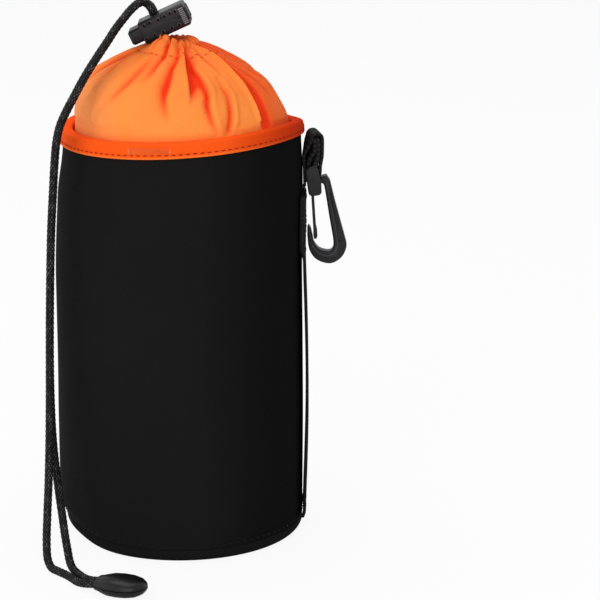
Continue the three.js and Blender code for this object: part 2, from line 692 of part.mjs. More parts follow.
function makeLockPlunger() {
  const [halfDepth, halfHeight] = [plungerDepth / 2, plungerHeight / 2];
  const outline = roundedRectangle(-halfDepth, halfDepth, -halfHeight, halfHeight, plungerCorner);
  const body = solid(alongX(outline, -plungerOuter, plungerInner, plungerEdge));
  const slotLeft = -cordRadius - 2 * seamGap - plungerTravel;
  const slot = roundedRectangle(slotLeft, cordRadius + seamGap, -cordSlotHalf, cordSlotHalf, cordRadius, 3);
  const spigot = new THREE.CylinderGeometry(spigotRadius, spigotRadius, spigotLength + cutOverrun, 12)
    .rotateZ(Math.PI / 2).translate(plungerInner + (spigotLength - cutOverrun) / 2, 0, 0);
  return geometryOf(body
    .subtract(solid(raised(slot, plungerHeight + 2 * cutOverrun).translate(0, 0, -halfHeight - cutOverrun)))
    .add(solid(spigot)));
}

function makeLockSpring() {
  const from = plungerInner + springWire / 2 + seamGap;
  const to = lockSleeveRight - lockEndWall - springWire / 2 - seamGap;
  const steps = Math.round(springTurns * 10);
  const route = Array.from({ length: steps + 1 }, (_, i) => {
    const angle = (2 * Math.PI * springTurns * i) / steps;
    return point(THREE.MathUtils.lerp(from, to, i / steps),
      springRadius * Math.cos(angle), springRadius * Math.sin(angle));
  });
  return tube(route, springWire / 2, steps, 6);
}

// Cord end

function makeEndHalf(side) {
  const half = endLength / 2;
  const profile = endShares.map(([along, width]) => flat(endHalfWidth * width, half * along));
  const whole = new THREE.LatheGeometry(profile, 28).rotateZ(-Math.PI / 2)
    .scale(1, 1, endHalfHeight / endHalfWidth);
  const reach = endHalfWidth + cutOverrun;
  const keep = side > 0
    ? block(-half - cutOverrun, half + cutOverrun, -reach, reach, endSplit / 2, reach)
    : block(-half - cutOverrun, half + cutOverrun, -reach, reach, -reach, -endSplit / 2);
  let shell = solid(whole).intersect(solid(keep));
  for (const y of [-cordSpacing / 2, cordSpacing / 2]) {
    const bore = alongX(polygon(cordRadius + seamGap, 12), -half - cutOverrun, -knotSeat + cutOverrun)
      .translate(0, y, 0);
    shell = shell.subtract(solid(bore));
  }
  const pocket = new THREE.SphereGeometry(knotRadius + 2 * seamGap, 16, 10)
    .scale(1, (2 * knotRadius + 2 * seamGap) / (knotRadius + 2 * seamGap), 1)
    .translate(-knotSeat + knotRadius + seamGap, 0, 0);
  return geometryOf(shell.subtract(solid(pocket)));
}

function makeKnot(side) {
  return new THREE.SphereGeometry(knotRadius, 12, 8)
    .scale(1, knotFlatShare, 1)
    .translate(-knotSeat + knotRadius + seamGap, side * (knotRadius * knotFlatShare + seamGap / 2), 0);
}

// Snap hook

const fork = hookStrapWidth + 2 * seamGap;
const headDepth = fork + 2 * cheekThickness;

const across = (share) => hookWidth * share;
const down = (share) => -hookReach * share;

function hookEdgeLine(shares, count) {
  return new THREE.SplineCurve(shares.map(([x, z]) => flat(across(x), down(z)))).getPoints(count);
}

const slotFloor = -(barRadius + webbingThickness + webbingPlay);

function makeHookFrame() {
  const rootDepth = headBottom * rootShare;
  const bent = shapeOf([
    flat(-headRight, -rootDepth),
    flat(-headRight, slotFloor),
    flat(across(shoulderShare), -shoulderTop),
    ...hookEdgeLine(hookOuterShares, 24),
    ...hookNoseShares.map(([x, z]) => flat(across(x), down(z))),
    ...hookEdgeLine(hookInnerShares, 20),
    flat(headRight - seamGap, -headBottom * rootInnerShare),
    flat(headRight - seamGap, -rootDepth),
  ]);
  let frame = solid(acrossY(bent, hookDepth, hookEdge));
  const head = roundedRectangle(-headLeft, headRight, -headBottom, headTop, headCorner, 4);
  const forkSlot = block(-headLeft - cutOverrun, headRight + cutOverrun, -fork / 2, fork / 2,
    slotFloor, headTop + cutOverrun);
  frame = frame
    .add(solid(acrossY(head, headDepth, hookEdge)).subtract(solid(forkSlot)))
    .add(solid(rodAlongY(barRadius, fork + cheekThickness, 0, 0)));
  const socket = rodAlongY(gateBeadRadius + runningGap, gateWidth + 2 * seamGap,
    -gatePivotSide, -gatePivotDrop);
  frame = frame.subtract(solid(socket));
  const halfGroove = (across(spineShares[1]) - across(spineShares[0])) * (grooveWidthShare / 2);
  const [upper, lower] = grooveMiddleShares.map(across);
  const groove = shapeOf([
    flat(upper - halfGroove, down(grooveTopShare)),
    flat(upper + halfGroove, down(grooveTopShare)),
    flat(lower + halfGroove, down(grooveBottomShare)),
    flat(lower - halfGroove, down(grooveBottomShare)),
  ]);
  for (const y of [-hookDepth / 2, hookDepth / 2]) {
    frame = frame.subtract(solid(acrossY(groove, 2 * grooveDepth).translate(0, y, 0)));
  }
  return geometryOf(frame);
}

// The gate's tip rests inside the nose
const noseTop = -down(hookNoseShares[1][1]);
const noseInside = -across(hookInnerShares[0][0]);
const gateReach = noseTop - gatePivotDrop + gateOverlap;
const gateLean = Math.asin((noseInside - gatePivotSide - gateThickness / 2 - seamGap) / gateReach);

function makeHookGate() {
  const half = gateThickness / 2;
  const at = gateTipShares;
  const leaf = shapeOf([
    flat(-half, 0),
    flat(-half, -gateReach * at.backIn),
    flat(-half - gateTipBulge * gateBackShare, -gateReach * at.backEnd),
    flat(-half, -gateReach),
    flat(half, -gateReach),
    flat(half + gateTipBulge, -gateReach * at.bulgeEnd),
    flat(half + gateTipBulge, -gateReach * at.bulgeOut),
    flat(half, -gateReach * at.heelOut),
    flat(half, 0),
  ]);
  const bead = rodAlongY(gateBeadRadius, gateWidth, 0, 0);
  return geometryOf(solid(acrossY(leaf, gateWidth, gateEdge)).add(solid(bead))).rotateY(gateLean);
}

// Assembly

const pouch = new THREE.Group();
pouch.add(
  named('body_wall', makeWall(), neoprene()),
  named('base_panel', makeBase(), neoprene()),
  named('base_pad', makePad(), foam()),
  named('rim_binding', makeBinding(), orangeTape()),
  named('hood', makeHood(), orangeCloth()),
  named('belt_strap', makeBeltStrap(), webbing()),
  named('hook_strap', makeHookStrap(), webbing()),
  named('drawcord_ring', makeDrawcordRing(), braid()),
  named('drawcord_tail_front', makeTail(frontTailRoute), braid()),
  named('drawcord_tail_back', makeTail(backTailRoute), braid()),
);

const lock = new THREE.Group();
lock.position.set(lockPlace.x, lockPlace.y, lockPlace.z);
lock.rotation.y = -lockTurn;
lock.add(
  named('lock_sleeve', makeLockSleeve(), darkPlastic()),
  named('lock_plunger', makeLockPlunger(), darkPlastic()),
  named('lock_spring', makeLockSpring(), springSteel()),
);

const cordEnd = new THREE.Group();
cordEnd.position.set(endPlace.x, endPlace.y, endPlace.z);
cordEnd.rotation.set(0, -endPitch * degrees, endYaw * degrees, 'ZYX');
cordEnd.add(
  named('cord_end_upper', makeEndHalf(1), darkPlastic()),
  named('cord_end_lower', makeEndHalf(-1), darkPlastic()),
  named('cord_knot_front', makeKnot(-1), braid()),
  named('cord_knot_back', makeKnot(1), braid()),
);

const hook = new THREE.Group();
hook.position.set(barPlace.x, barPlace.y, barPlace.z);
hook.rotation.y = -hookLean * degrees;
const gate = named('hook_gate', makeHookGate(), darkPlastic());
gate.position.set(-gatePivotSide, 0, -gatePivotDrop);
hook.add(named('hook_frame', makeHookFrame(), darkPlastic()), gate);

pouch.add(lock, cordEnd, hook);

export default pouch;
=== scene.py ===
"""A padded drawstring pouch for a camera lens, standing upright.

Metres, +Z up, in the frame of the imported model: the origin is the middle of the base's
underside, +X is the side of the belt strap and the snap hook, and -Y is the front.
"""

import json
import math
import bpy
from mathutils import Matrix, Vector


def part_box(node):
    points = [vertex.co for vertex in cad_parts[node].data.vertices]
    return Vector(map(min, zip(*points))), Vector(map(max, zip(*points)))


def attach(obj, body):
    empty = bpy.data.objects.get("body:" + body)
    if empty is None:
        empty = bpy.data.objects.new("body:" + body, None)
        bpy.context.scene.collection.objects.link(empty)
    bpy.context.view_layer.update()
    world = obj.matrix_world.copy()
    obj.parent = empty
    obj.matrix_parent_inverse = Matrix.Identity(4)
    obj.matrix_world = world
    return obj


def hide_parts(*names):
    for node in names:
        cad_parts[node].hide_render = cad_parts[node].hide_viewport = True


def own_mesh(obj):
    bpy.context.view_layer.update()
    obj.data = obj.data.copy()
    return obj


bl_info = {
    "name": "Lens Pouch",
    "version": (1, 0, 0),
    "blender": (4, 5, 0),
    "location": "3D View > Sidebar > Pouch",
    "description": "Builds a padded lens pouch with a drawn hood, a cord lock and a snap hook",
    "category": "Add Mesh",
}

import bmesh
import bpy
from bpy.props import FloatProperty, FloatVectorProperty, PointerProperty
from mathutils import Vector, noise

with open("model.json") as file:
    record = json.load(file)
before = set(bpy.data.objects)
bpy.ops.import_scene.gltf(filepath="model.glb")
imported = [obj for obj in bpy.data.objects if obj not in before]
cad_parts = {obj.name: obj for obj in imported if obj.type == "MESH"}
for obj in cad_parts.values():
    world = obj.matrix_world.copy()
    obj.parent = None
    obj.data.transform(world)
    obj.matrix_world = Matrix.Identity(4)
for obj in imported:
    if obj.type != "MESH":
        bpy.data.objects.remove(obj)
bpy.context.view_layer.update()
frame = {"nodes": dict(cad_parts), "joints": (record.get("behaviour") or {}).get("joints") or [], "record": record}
JOINTS = {joint["name"]: joint for joint in frame["joints"]}

MM = 0.001
UP = Vector((0, 0, 1))
ROOT = "pouch"

# Sizes that the pieces share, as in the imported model
SEAM_GAP = 0.3 * MM
WALL_THICKNESS = 3.0 * MM
HEM_RADIUS = 47.8 * MM
BELLY_RADIUS = 48.1 * MM
SHOULDER_RADIUS = 47.2 * MM
MOUTH_RADIUS = 46.2 * MM
BELLY_HEIGHT = 55 * MM
SHOULDER_HEIGHT = 138 * MM
NECK_HEIGHT = 157 * MM
WALL_TOP = 164.3 * MM
BASE_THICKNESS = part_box("base_panel")[1].z
BASE_CORNER = 3.6 * MM
RIM_TILT = 0.062
MOUTH_SHIFT = 1.2 * MM
STRAIGHT_HEIGHT = 100 * MM
TILT_ENDS = 180 * MM
MOUTH_SAG = 6.2 * MM
TAPE_DROP = 4.4 * MM
TAPE_INNER_DROP = 2.9 * MM
SAG_MIDDLE = math.radians(32)
SAG_SPREAD = math.radians(42)
SAG_DEPTH = 16 * MM
CORD_DIAMETER = 3.0 * MM
CORD_SPACING = 3.5 * MM
WEBBING = 1.2 * MM

# The camera, fitted to the photograph's ellipses
CAMERA_PLACE = (46.9 * MM, -1109.3 * MM, 401.8 * MM)
CAMERA_PITCH = math.radians(90 - 15.59)
CAMERA_LENS = 175.53
CAMERA_SENSOR = 36.0


def srgb(red, green, blue):
    """A linear colour from one written in 0 to 255."""
    def linear(value):
        share = value / 255
        return share / 12.92 if share <= 0.04045 else ((share + 0.055) / 1.055) ** 2.4
    return (linear(red), linear(green), linear(blue))


def smoothstep(value, low, high):
    share = min(max((value - low) / (high - low), 0.0), 1.0)
    return share * share * (3 - 2 * share)


def mix(a, b, share):
    return a + (b - a) * share


def follow(stops, place):
    """A smooth curve through (place, value) stops."""
    if place <= stops[0][0]:
        return stops[0][1]
    if place >= stops[-1][0]:
        return stops[-1][1]
    i = next(k for k in range(1, len(stops)) if place <= stops[k][0])
    (x0, y0), (x1, y1) = stops[i - 1], stops[i]
    before, after = stops[max(i - 2, 0)], stops[min(i + 1, len(stops) - 1)]
    slope0 = (y1 - before[1]) / (x1 - before[0])
    slope1 = (after[1] - y0) / (after[0] - x0)
    span = x1 - x0
    t = (place - x0) / span
    return ((2 * t**3 - 3 * t**2 + 1) * y0 + (t**3 - 2 * t**2 + t) * span * slope0
            + (3 * t**2 - 2 * t**3) * y1 + (t**3 - t**2) * span * slope1)


def around(angle, radius, height):
    return Vector((radius * math.cos(angle), radius * math.sin(angle), height))


def angle_from(angle, centre):
    """The signed angle from a centre, within half a turn."""
    return (angle - centre + math.pi) % (2 * math.pi) - math.pi


def bell(off, spread):
    """1 at no distance, and less and less away from it."""
    return math.exp(-(off / spread) ** 2)


def near(angle, middle, spread):
    """How near an angle is to a middle one: 1 on it, and falling off on both sides."""
    return bell(angle_from(angle, middle), spread)


def fade(value, low, high):
    return 1 - smoothstep(value, low, high)


def spread_out(first, last, count):
    return [mix(first, last, i / (count - 1)) for i in range(count)]


def ring_angles(count):
    """Even angles once round, with the first again at the end."""
    return [2 * math.pi * k / count for k in range(count + 1)]


def noise_around(angle, waves, up):
    """Smooth noise round the pouch that closes on itself."""
    return noise.noise(Vector((waves * math.cos(angle), waves * math.sin(angle), up)))


# The wall and the base

# The mouth has drifted sideways, is tilted and droops behind the hook, and all this dies
# out above and below it
def drift_at(height):
    return MOUTH_SHIFT * min(smoothstep(height, STRAIGHT_HEIGHT, WALL_TOP),
                             fade(height, WALL_TOP, TILT_ENDS))


def lean(p):
    above = (TILT_ENDS - p.z) / (TILT_ENDS - WALL_TOP)
    tilted = min((p.z - STRAIGHT_HEIGHT) / (WALL_TOP - STRAIGHT_HEIGHT), above, 1.0)
    drooped = min((p.z - WALL_TOP) / SAG_DEPTH + 1, above, 1.0)
    sag = MOUTH_SAG * near(math.atan2(p.y, p.x), SAG_MIDDLE, SAG_SPREAD)
    rise = RIM_TILT * p.x * max(tilted, 0.0) - sag * max(drooped, 0.0)
    return Vector((p.x + drift_at(p.z), p.y, p.z + rise))


WALL_STOPS = [
    (BASE_THICKNESS, HEM_RADIUS), (BELLY_HEIGHT, BELLY_RADIUS), (SHOULDER_HEIGHT, SHOULDER_RADIUS),
    (NECK_HEIGHT, MOUTH_RADIUS), (WALL_TOP, MOUTH_RADIUS),
]

# The front left corner of the base is pushed in
DENT_ANGLE = math.radians(-155)
DENT_SPREAD = math.radians(25)
DENT_DEPTH = 4.8 * MM
DENT_LOW = 1 * MM
DENT_HIGH = 14 * MM
# The wall's left side stands a little fuller
SIDE_FULLNESS = 1.0 * MM
SIDE_SPREAD = math.radians(34)
SIDE_END = (138 * MM, 158 * MM)
# Its slow hand-made waves keep clear of the strap, in radians round, and of its two ends
WAVE_DEPTH = 0.45 * MM
WAVE_LENGTH = 45 * MM
WAVES_AROUND = 2.2
WAVE_CLEAR = (0.35, 0.8)
WAVE_START = (6 * MM, 30 * MM)
WAVE_END = (130 * MM, 158 * MM)


def dent(angle, height):
    """How far the corner is pushed in at a height."""
    return DENT_DEPTH * near(angle, DENT_ANGLE, DENT_SPREAD) * fade(height, DENT_LOW, DENT_HIGH)


def wall_radius(angle, height):
    """The wall's outside: its plain curve, the pushed-in corner, its waves and its full side."""
    wave = WAVE_DEPTH * noise_around(angle, WAVES_AROUND, height / WAVE_LENGTH)
    wave *= smoothstep(abs(angle_from(angle, 0)), *WAVE_CLEAR)
    wave *= smoothstep(height, *WAVE_START) * fade(height, *WAVE_END)
    full = SIDE_FULLNESS * near(angle, math.pi, SIDE_SPREAD)
    full *= smoothstep(height, DENT_LOW, DENT_HIGH) * fade(height, *SIDE_END)
    return follow(WALL_STOPS, height) - dent(angle, height) + wave + full


# The wall's rows of quads outside and inside, its columns, its rounded lower edge and the
# height of its base seam
WALL_ROWS = 72
LINING_ROWS = 26
WALL_COLUMNS = 264
WALL_BOTTOM = BASE_THICKNESS + 0.05 * MM
WALL_EDGE = 0.3 * MM
HEM_HEIGHT = WALL_BOTTOM + 1.5 * MM

POLE = 0.004              # the innermost row of a disc, as a share of its radius
# The foam pad's rounded edge, its width and half its height, and how far the top falls to it
PAD_EDGE = 1.2 * MM
PAD_BULGE = 1.6 * MM
PAD_CROWN = 0.9 * MM


def pushed_in(outer, level):
    """A ripple that pushes a disc's edge in, as the wall's corner is at some level."""
    return lambda angle, plain, height: plain - dent(angle, level) * (plain / outer) ** 6


# The rim tape

# The tape's outer face, from its lower edge over its stitches up to its fold: mm off its
# plain radius, and mm above its lower edge
TAPE_OUTLINE = [
    (-1.0, 0.1), (-0.2, -0.05), (0.12, 0.1), (0.24, 0.45), (0.2, 1.0), (-0.16, 1.5),
    (0.12, 2.05), (0.14, 2.8), (-0.05, 3.7), (-0.35, 4.4),
]
TAPE_EDGE_ROWS = (1, 2, 3)     # of the outline, where the tape is paler
TAPE_BOTTOM = WALL_TOP - TAPE_DROP
TAPE_OUTER = MOUTH_RADIUS + 1.1 * MM
TAPE_CLEAR = 0.1 * MM
TAPE_RISE = 1.3 * MM
TAPE_UNEVEN = 0.16 * MM
TAPE_STITCH = TAPE_BOTTOM + 1.5 * MM
# The pale bartack is a zigzag between two degrees round the mouth. Its lower and upper
# corners are (mm off the tape's plain radius, mm above its lower edge)
BARTACK_FROM = -113
BARTACK_TO = -93
BARTACK_CORNERS = 44
BARTACK_UPPER = (-0.08, 4.4)
BARTACK_LOWER = (0.26, 2.1)


# Making meshes

def grid_piece(name, rows, columns, place, finish, wrap_rows=False, caps=False, marks=()):
    """A piece of quads. place(row, column) gives a point, a (u, v) and the values of the marks.

    Columns always close on themselves, because each piece is a turned shape, a tube or a
    strap's closed section. Rows run so that columns x rows points outwards.
    """
    points, uvs, values = [], [], []
    for row in range(rows):
        for column in range(columns):
            point, uv, *mark = place(row, column)
            points.append(point)
            uvs.append(uv)
            values.append(mark)
    faces, corners = [], []
    for row in range(rows if wrap_rows else rows - 1):
        for column in range(columns):
            across, on = (column + 1) % columns, (row + 1) % rows
            faces.append((row * columns + column, row * columns + across,
                          on * columns + across, on * columns + column))
            u0, v0 = uvs[row * columns + column]
            u1, v1 = uvs[row * columns + across][0], uvs[on * columns + column][1]
            if across == 0:
                u1 = 2 * u0 - uvs[row * columns + column - 1][0]
            if on == 0:
                v1 = 2 * v0 - uvs[(row - 1) * columns + column][1]
            corners += [(u0, v0), (u1, v0), (u1, v1), (u0, v1)]
    if caps:
        first = list(range(columns))
        last = [(rows - 1) * columns + column for column in first]
        for ring in (first[::-1], last):
            faces.append(tuple(ring))
            corners += [uvs[i] for i in ring]
    mesh = bpy.data.meshes.new(name)
    mesh.from_pydata(points, [], faces)
    layer = mesh.uv_layers.new(name="UVMap")
    for loop, corner in zip(layer.data, corners):
        loop.uv = corner
    for i, mark in enumerate(marks):
        attribute = mesh.attributes.new(mark, "FLOAT", "POINT")
        attribute.data.foreach_set("value", [row[i] for row in values])
    return finished_object(name, mesh, finish)


def finished_object(name, mesh, finish, smooth=True):
    mesh.update()
    for face in mesh.polygons:
        face.use_smooth = smooth
    piece = bpy.data.objects.new(name, mesh)
    bpy.context.scene.collection.objects.link(piece)
    mesh.materials.clear()
    mesh.materials.append(finish)
    return piece


def settled(piece):
    """The same piece with its modifiers made part of its mesh."""
    graph = bpy.context.evaluated_depsgraph_get()
    shape = bpy.data.meshes.new_from_object(piece.evaluated_get(graph))
    piece.modifiers.clear()
    piece.data = shape
    return piece


def stands_for(piece, node):
    """Put a piece on the pouch's body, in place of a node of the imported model."""
    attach(piece, ROOT)
    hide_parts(node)
    return piece


def arc(middle, width, height, first, last, count):
    """Points of an ellipse about an (x, z) middle, from one angle in degrees to another."""
    angles = [math.radians(angle) for angle in spread_out(first, last, count)]
    return [(middle[0] + width * math.cos(a), middle[1] + height * math.sin(a)) for a in angles]


def run_lengths(points):
    """How far along a line each of its points lies."""
    lengths = [0.0]
    for a, b in zip(points, points[1:]):
        lengths.append(lengths[-1] + math.dist(a, b))
    return lengths


def turned_piece(name, profile, columns, finish, place=lean, closed=True, ripple=None, mark=None):
    """A profile of (radius, height) points turned about the Z axis.

    A mark is a name and a function that gives each row's value of it.
    """
    lengths = run_lengths(profile)
    girth = 2 * math.pi * max(radius for radius, _ in profile)

    def point(row, column):
        angle = 2 * math.pi * column / columns
        radius, height = profile[row]
        if ripple:
            radius = ripple(angle, radius, height)
        value = (mark[1](row),) if mark else ()
        return place(around(angle, radius, height)), (girth * column / columns, lengths[row]), *value

    return grid_piece(name, len(profile), columns, point, finish, wrap_rows=closed, caps=not closed,
                      marks=mark[:1] if mark else ())


SPLINE_STEPS = 12


def spline(points, step):
    """Points a step apart along the centripetal curve through the given points."""
    points = [Vector(p) for p in points]
    points = [2 * points[0] - points[1]] + points + [2 * points[-1] - points[-2]]
    fine = []
    for p0, p1, p2, p3 in zip(points, points[1:], points[2:], points[3:]):
        t0 = 0.0
        t1 = t0 + (p1 - p0).length ** 0.5
        t2 = t1 + (p2 - p1).length ** 0.5
        t3 = t2 + (p3 - p2).length ** 0.5
        for k in range(SPLINE_STEPS):
            t = mix(t1, t2, k / SPLINE_STEPS)
            a1 = p0.lerp(p1, (t - t0) / (t1 - t0))
            a2 = p1.lerp(p2, (t - t1) / (t2 - t1))
            a3 = p2.lerp(p3, (t - t2) / (t3 - t2))
            b1 = a1.lerp(a2, (t - t0) / (t2 - t0))
            b2 = a2.lerp(a3, (t - t1) / (t3 - t1))
            fine.append(b1.lerp(b2, (t - t1) / (t2 - t1)))
    fine.append(points[-2])
    return spaced(fine, step)


def spaced(line, step):
    """A line of points taken again at even steps, its ends kept."""
    lengths = run_lengths(line)
    count = max(2, round(lengths[-1] / step))
    result, i = [], 1
    for k in range(count + 1):
        wanted = lengths[-1] * k / count
        while i < len(lengths) - 1 and lengths[i] < wanted:
            i += 1
        share = (wanted - lengths[i - 1]) / (lengths[i] - lengths[i - 1])
        result.append(line[i - 1].lerp(line[i], share))
    return result


def frames_along(line, side):
    """A (side, rest) pair of directions across each point, turned as little as the line allows."""
    result = []
    for i in range(len(line)):
        tangent = (line[min(i + 1, len(line) - 1)] - line[max(i - 1, 0)]).normalized()
        side = (side - tangent * side.dot(tangent)).normalized()
        result.append((side, tangent.cross(side)))
    return result


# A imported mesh's points are welded and its flat faces joined before its edges are rounded
WELD = 0.002 * MM
FLAT_WITHIN = math.radians(1)
SMOOTH_WITHIN = math.radians(38)


def refined(node, name, finish, rounding, sharp=34):
    """A copy of a rigid node with its edges rounded, which stands for it."""
    mesh = frame["nodes"][node].data.copy()
    mesh.name = name
    shape = bmesh.new()
    shape.from_mesh(mesh)
    bmesh.ops.remove_doubles(shape, verts=shape.verts, dist=WELD)
    bmesh.ops.dissolve_limit(shape, angle_limit=FLAT_WITHIN, verts=shape.verts, edges=shape.edges)
    bmesh.ops.recalc_face_normals(shape, faces=shape.faces)
    shape.to_mesh(mesh)
    shape.free()
    piece = finished_object(name, mesh, finish)
    bevel = piece.modifiers.new("edges", "BEVEL")
    bevel.width = rounding
    bevel.segments = 3
    bevel.limit_method = "ANGLE"
    bevel.angle_limit = math.radians(sharp)
    bevel.use_clamp_overlap = True
    settled(piece)
    piece.data.set_sharp_from_angle(angle=SMOOTH_WITHIN)
    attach(piece, next(body for body, members in
                        frame["record"]["behaviour"]["bodies"].items() if node in members))
    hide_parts(node)
    return piece


# Shader maths

class Wire:
    """A socket of a material's tree, with the sums that the materials use."""

    def __init__(self, tree, socket):
        self.tree = tree
        self.socket = socket

    def sum(self, operation, first, second):
        node = self.tree.nodes.new("ShaderNodeMath")
        node.operation = operation
        for slot, value in zip(node.inputs, (first, second)):
            if isinstance(value, Wire):
                self.tree.links.new(value.socket, slot)
            else:
                slot.default_value = value
        return Wire(self.tree, node.outputs[0])

    def __add__(self, other):
        return self.sum("ADD", self, other)

    def __mul__(self, other):
        return self.sum("MULTIPLY", self, other)


# The colour sockets of a mix node, which share their names with its other sockets
COLOUR_FACTOR, COLOUR_ONE, COLOUR_OTHER, COLOUR_RESULT = 0, 6, 7, 2


class Finish:
    """A material, and its Principled shader."""

    def __init__(self, name, **sockets):
        self.material = bpy.data.materials.new(name)
        self.material.use_nodes = True
        self.tree = self.material.node_tree
        self.shader = next(n for n in self.tree.nodes if n.type == "BSDF_PRINCIPLED")
        for socket, value in sockets.items():
            self.set(self.shader, socket.replace("_", " "), value)

    def set(self, node, socket, value):
        slot = node.inputs[socket]
        if isinstance(value, Wire):
            self.tree.links.new(value.socket, slot)
        elif slot.type == "RGBA" and len(value) == 3:
            slot.default_value = (*value, 1.0)
        else:
            slot.default_value = value

    def node(self, kind, settings=None, output=0, inputs=None):
        node = self.tree.nodes.new(kind)
        for setting, value in (settings or {}).items():
            setattr(node, setting, value)
        for socket, value in (inputs or {}).items():
            self.set(node, socket, value)
        return Wire(self.tree, node.outputs[output])

    def ramp(self, factor, stops):
        """A colour or grey that changes with a factor, from (place, colour) stops."""
        node = self.tree.nodes.new("ShaderNodeValToRGB")
        line = node.color_ramp.elements
        while len(line) < len(stops):
            line.new(0.5)
        for element, (place, colour) in zip(line, stops):
            element.position = place
            element.color = (*colour, 1.0)
        self.tree.links.new(factor.socket, node.inputs[0])
        return Wire(self.tree, node.outputs[0])

    def blend(self, factor, one, other):
        return self.node("ShaderNodeMix", {"data_type": "RGBA"}, COLOUR_RESULT, {
            COLOUR_FACTOR: factor, COLOUR_ONE: one, COLOUR_OTHER: other})

    def here(self):
        return self.node("ShaderNodeTexCoord", output="Object")

    def flat(self):
        return self.node("ShaderNodeTexCoord", output="UV")

    # A ramp across the pouch that masks the painted shade towards the strap's side and the painted light on the
    # hood's other side
    def strap_side(self, start, full):
        """How far a place lies towards the strap's side, from one x in mm to another.

        The ramp's 0 to 1 stands for x from -50 to 50 mm.
        """
        x = self.node("ShaderNodeSeparateXYZ", inputs={"Vector": self.here()}) * 10 + 0.5
        return self.ramp(x, [(start / 100 + 0.5, (0, 0, 0)), (full / 100 + 0.5, (1, 1, 1))])

    def noise(self, where, scale, detail=2.0, roughness=0.5):
        return self.node("ShaderNodeTexNoise", inputs={
            "Vector": where, "Scale": scale, "Detail": detail, "Roughness": roughness})

    def wave(self, where, scale, direction):
        return self.node("ShaderNodeTexWave", {"bands_direction": direction}, "Fac", {
            "Vector": where, "Scale": scale})

    def mark(self, name):
        return self.node("ShaderNodeAttribute", {"attribute_name": name}, "Fac")

    def bump(self, height, distance, strength=1.0):
        self.set(self.shader, "Normal", self.node("ShaderNodeBump", inputs={
            "Height": height, "Distance": distance, "Strength": strength}))

    def colour(self, value):
        self.set(self.shader, "Base Color", value)

    def roughness(self, value):
        self.set(self.shader, "Roughness", value)


FINISHES = {}


def finish_once(make):
    """Each finish is made once, and shared by the pieces that have it."""
    def shared(*named):
        key = (make, *named)
        if key not in FINISHES:
            FINISHES[key] = make(*named).material
        return FINISHES[key]
    return shared


def settings():
    return bpy.context.scene.pouch_settings


def tinted(colour, *shares):
    """A colour times a share, or times one share each for its red, green and blue."""
    return tuple(c * k for c, k in zip(colour, shares if len(shares) == 3 else 3 * shares))


@finish_once
def neoprene():
    """Black jersey laminated on foam rubber: a fine knit with a slowly uneven tone, and painted shade towards the
    strap's side.
    """
    finish = Finish("black_neoprene", Roughness=0.9, Specular_IOR_Level=0.03)
    place = finish.here()
    knit = finish.wave(place, 620, "Z") * finish.wave(place, 540, "DIAGONAL")
    fuzz = finish.noise(place, 1500, 3, 0.7)
    slow = finish.noise(place, 22, 3)
    dark = settings().wall_colour
    face = finish.blend(slow * 0.7 + fuzz * 0.3, dark, tinted(dark, 1.5))
    # painted shade: the wall is darkened towards the strap's side, which turns away from the lamps
    finish.colour(finish.blend(finish.strap_side(10, 48), face, tinted(dark, 0.35)))
    finish.roughness(finish.noise(place, 60) * 0.12 + 0.8)
    finish.bump(knit * 0.6 + fuzz * 0.5, 0.12 * MM, 0.5)
    return finish


@finish_once
def base_cloth():
    """Coated black cloth on the stiffened base."""
    finish = Finish("black_base_cloth", Roughness=0.88, Specular_IOR_Level=0.03)
    place = finish.here()
    weave = finish.wave(place, 420, "X") * finish.wave(place, 420, "Y")
    dark = settings().wall_colour
    finish.colour(finish.blend(finish.noise(place, 40), dark, tinted(dark, 1.6)))
    finish.bump(weave, 0.12 * MM, 0.5)
    return finish


@finish_once
def hood_nylon():
    """Light orange woven nylon, with painted light that makes its left side paler, and painted shade, a deep red,
    in the hollows of its folds and behind the large fold.
    """
    finish = Finish("orange_hood_cloth", Roughness=0.7, Specular_IOR_Level=0.02)
    cloth = settings().hood_colour
    place, where = finish.here(), finish.flat()
    threads = finish.wave(where, 520, "X") * 0.5 + finish.wave(where, 520, "Y") * 0.5
    body = finish.blend(finish.noise(place, 45, 3), tinted(cloth, 1.0, 0.88, 0.86),
                        tinted(cloth, 1.0, 1.2, 1.4))
    # painted light: the hood's left side is paler, as if more brightly lit
    body = finish.blend(finish.strap_side(-44, -20), srgb(255, 160, 98), body)
    # painted shade: the cloth turns deep red where the mark says it lies in a fold's hollow, behind the large fold
    # or under the channel
    shaded = finish.blend(finish.mark("painted_shade"), body, srgb(232, 38, 0))
    finish.colour(finish.blend(threads * 0.12, shaded, srgb(255, 176, 112)))
    finish.roughness(finish.noise(where, 900, 2) * 0.12 + 0.5)
    creases = finish.noise(place, 260, 5, 0.6) * 1.6 + finish.noise(place, 75, 2) * 1.4
    finish.bump(threads * 0.1 + creases, 0.9 * MM, 0.5)
    return finish


@finish_once
def rim_tape():
    """Red-orange folded tape with fine crosswise ribs, paler at its edges, and with painted shade towards the
    strap's side.
    """
    finish = Finish("orange_rim_tape", Roughness=0.8, Specular_IOR_Level=0.03)
    where = finish.flat()
    ribs = finish.wave(where, 430, "X")
    slow = finish.noise(finish.here(), 70, 3)
    tape = settings().tape_colour
    face = finish.blend(slow * 0.7 + ribs * 0.3, tinted(tape, 0.92, 0.78, 0.7), tape)
    face = finish.blend(finish.mark("edge"), face, srgb(255, 116, 44))
    # painted shade: the tape is deepened to a dark red towards the strap's side, which turns away from the lamps
    finish.colour(finish.blend(finish.strap_side(18, 46) * 0.85, face, srgb(186, 38, 10)))
    finish.bump(ribs + finish.noise(where, 500, 2) * 0.5, 0.14 * MM, 0.55)
    return finish


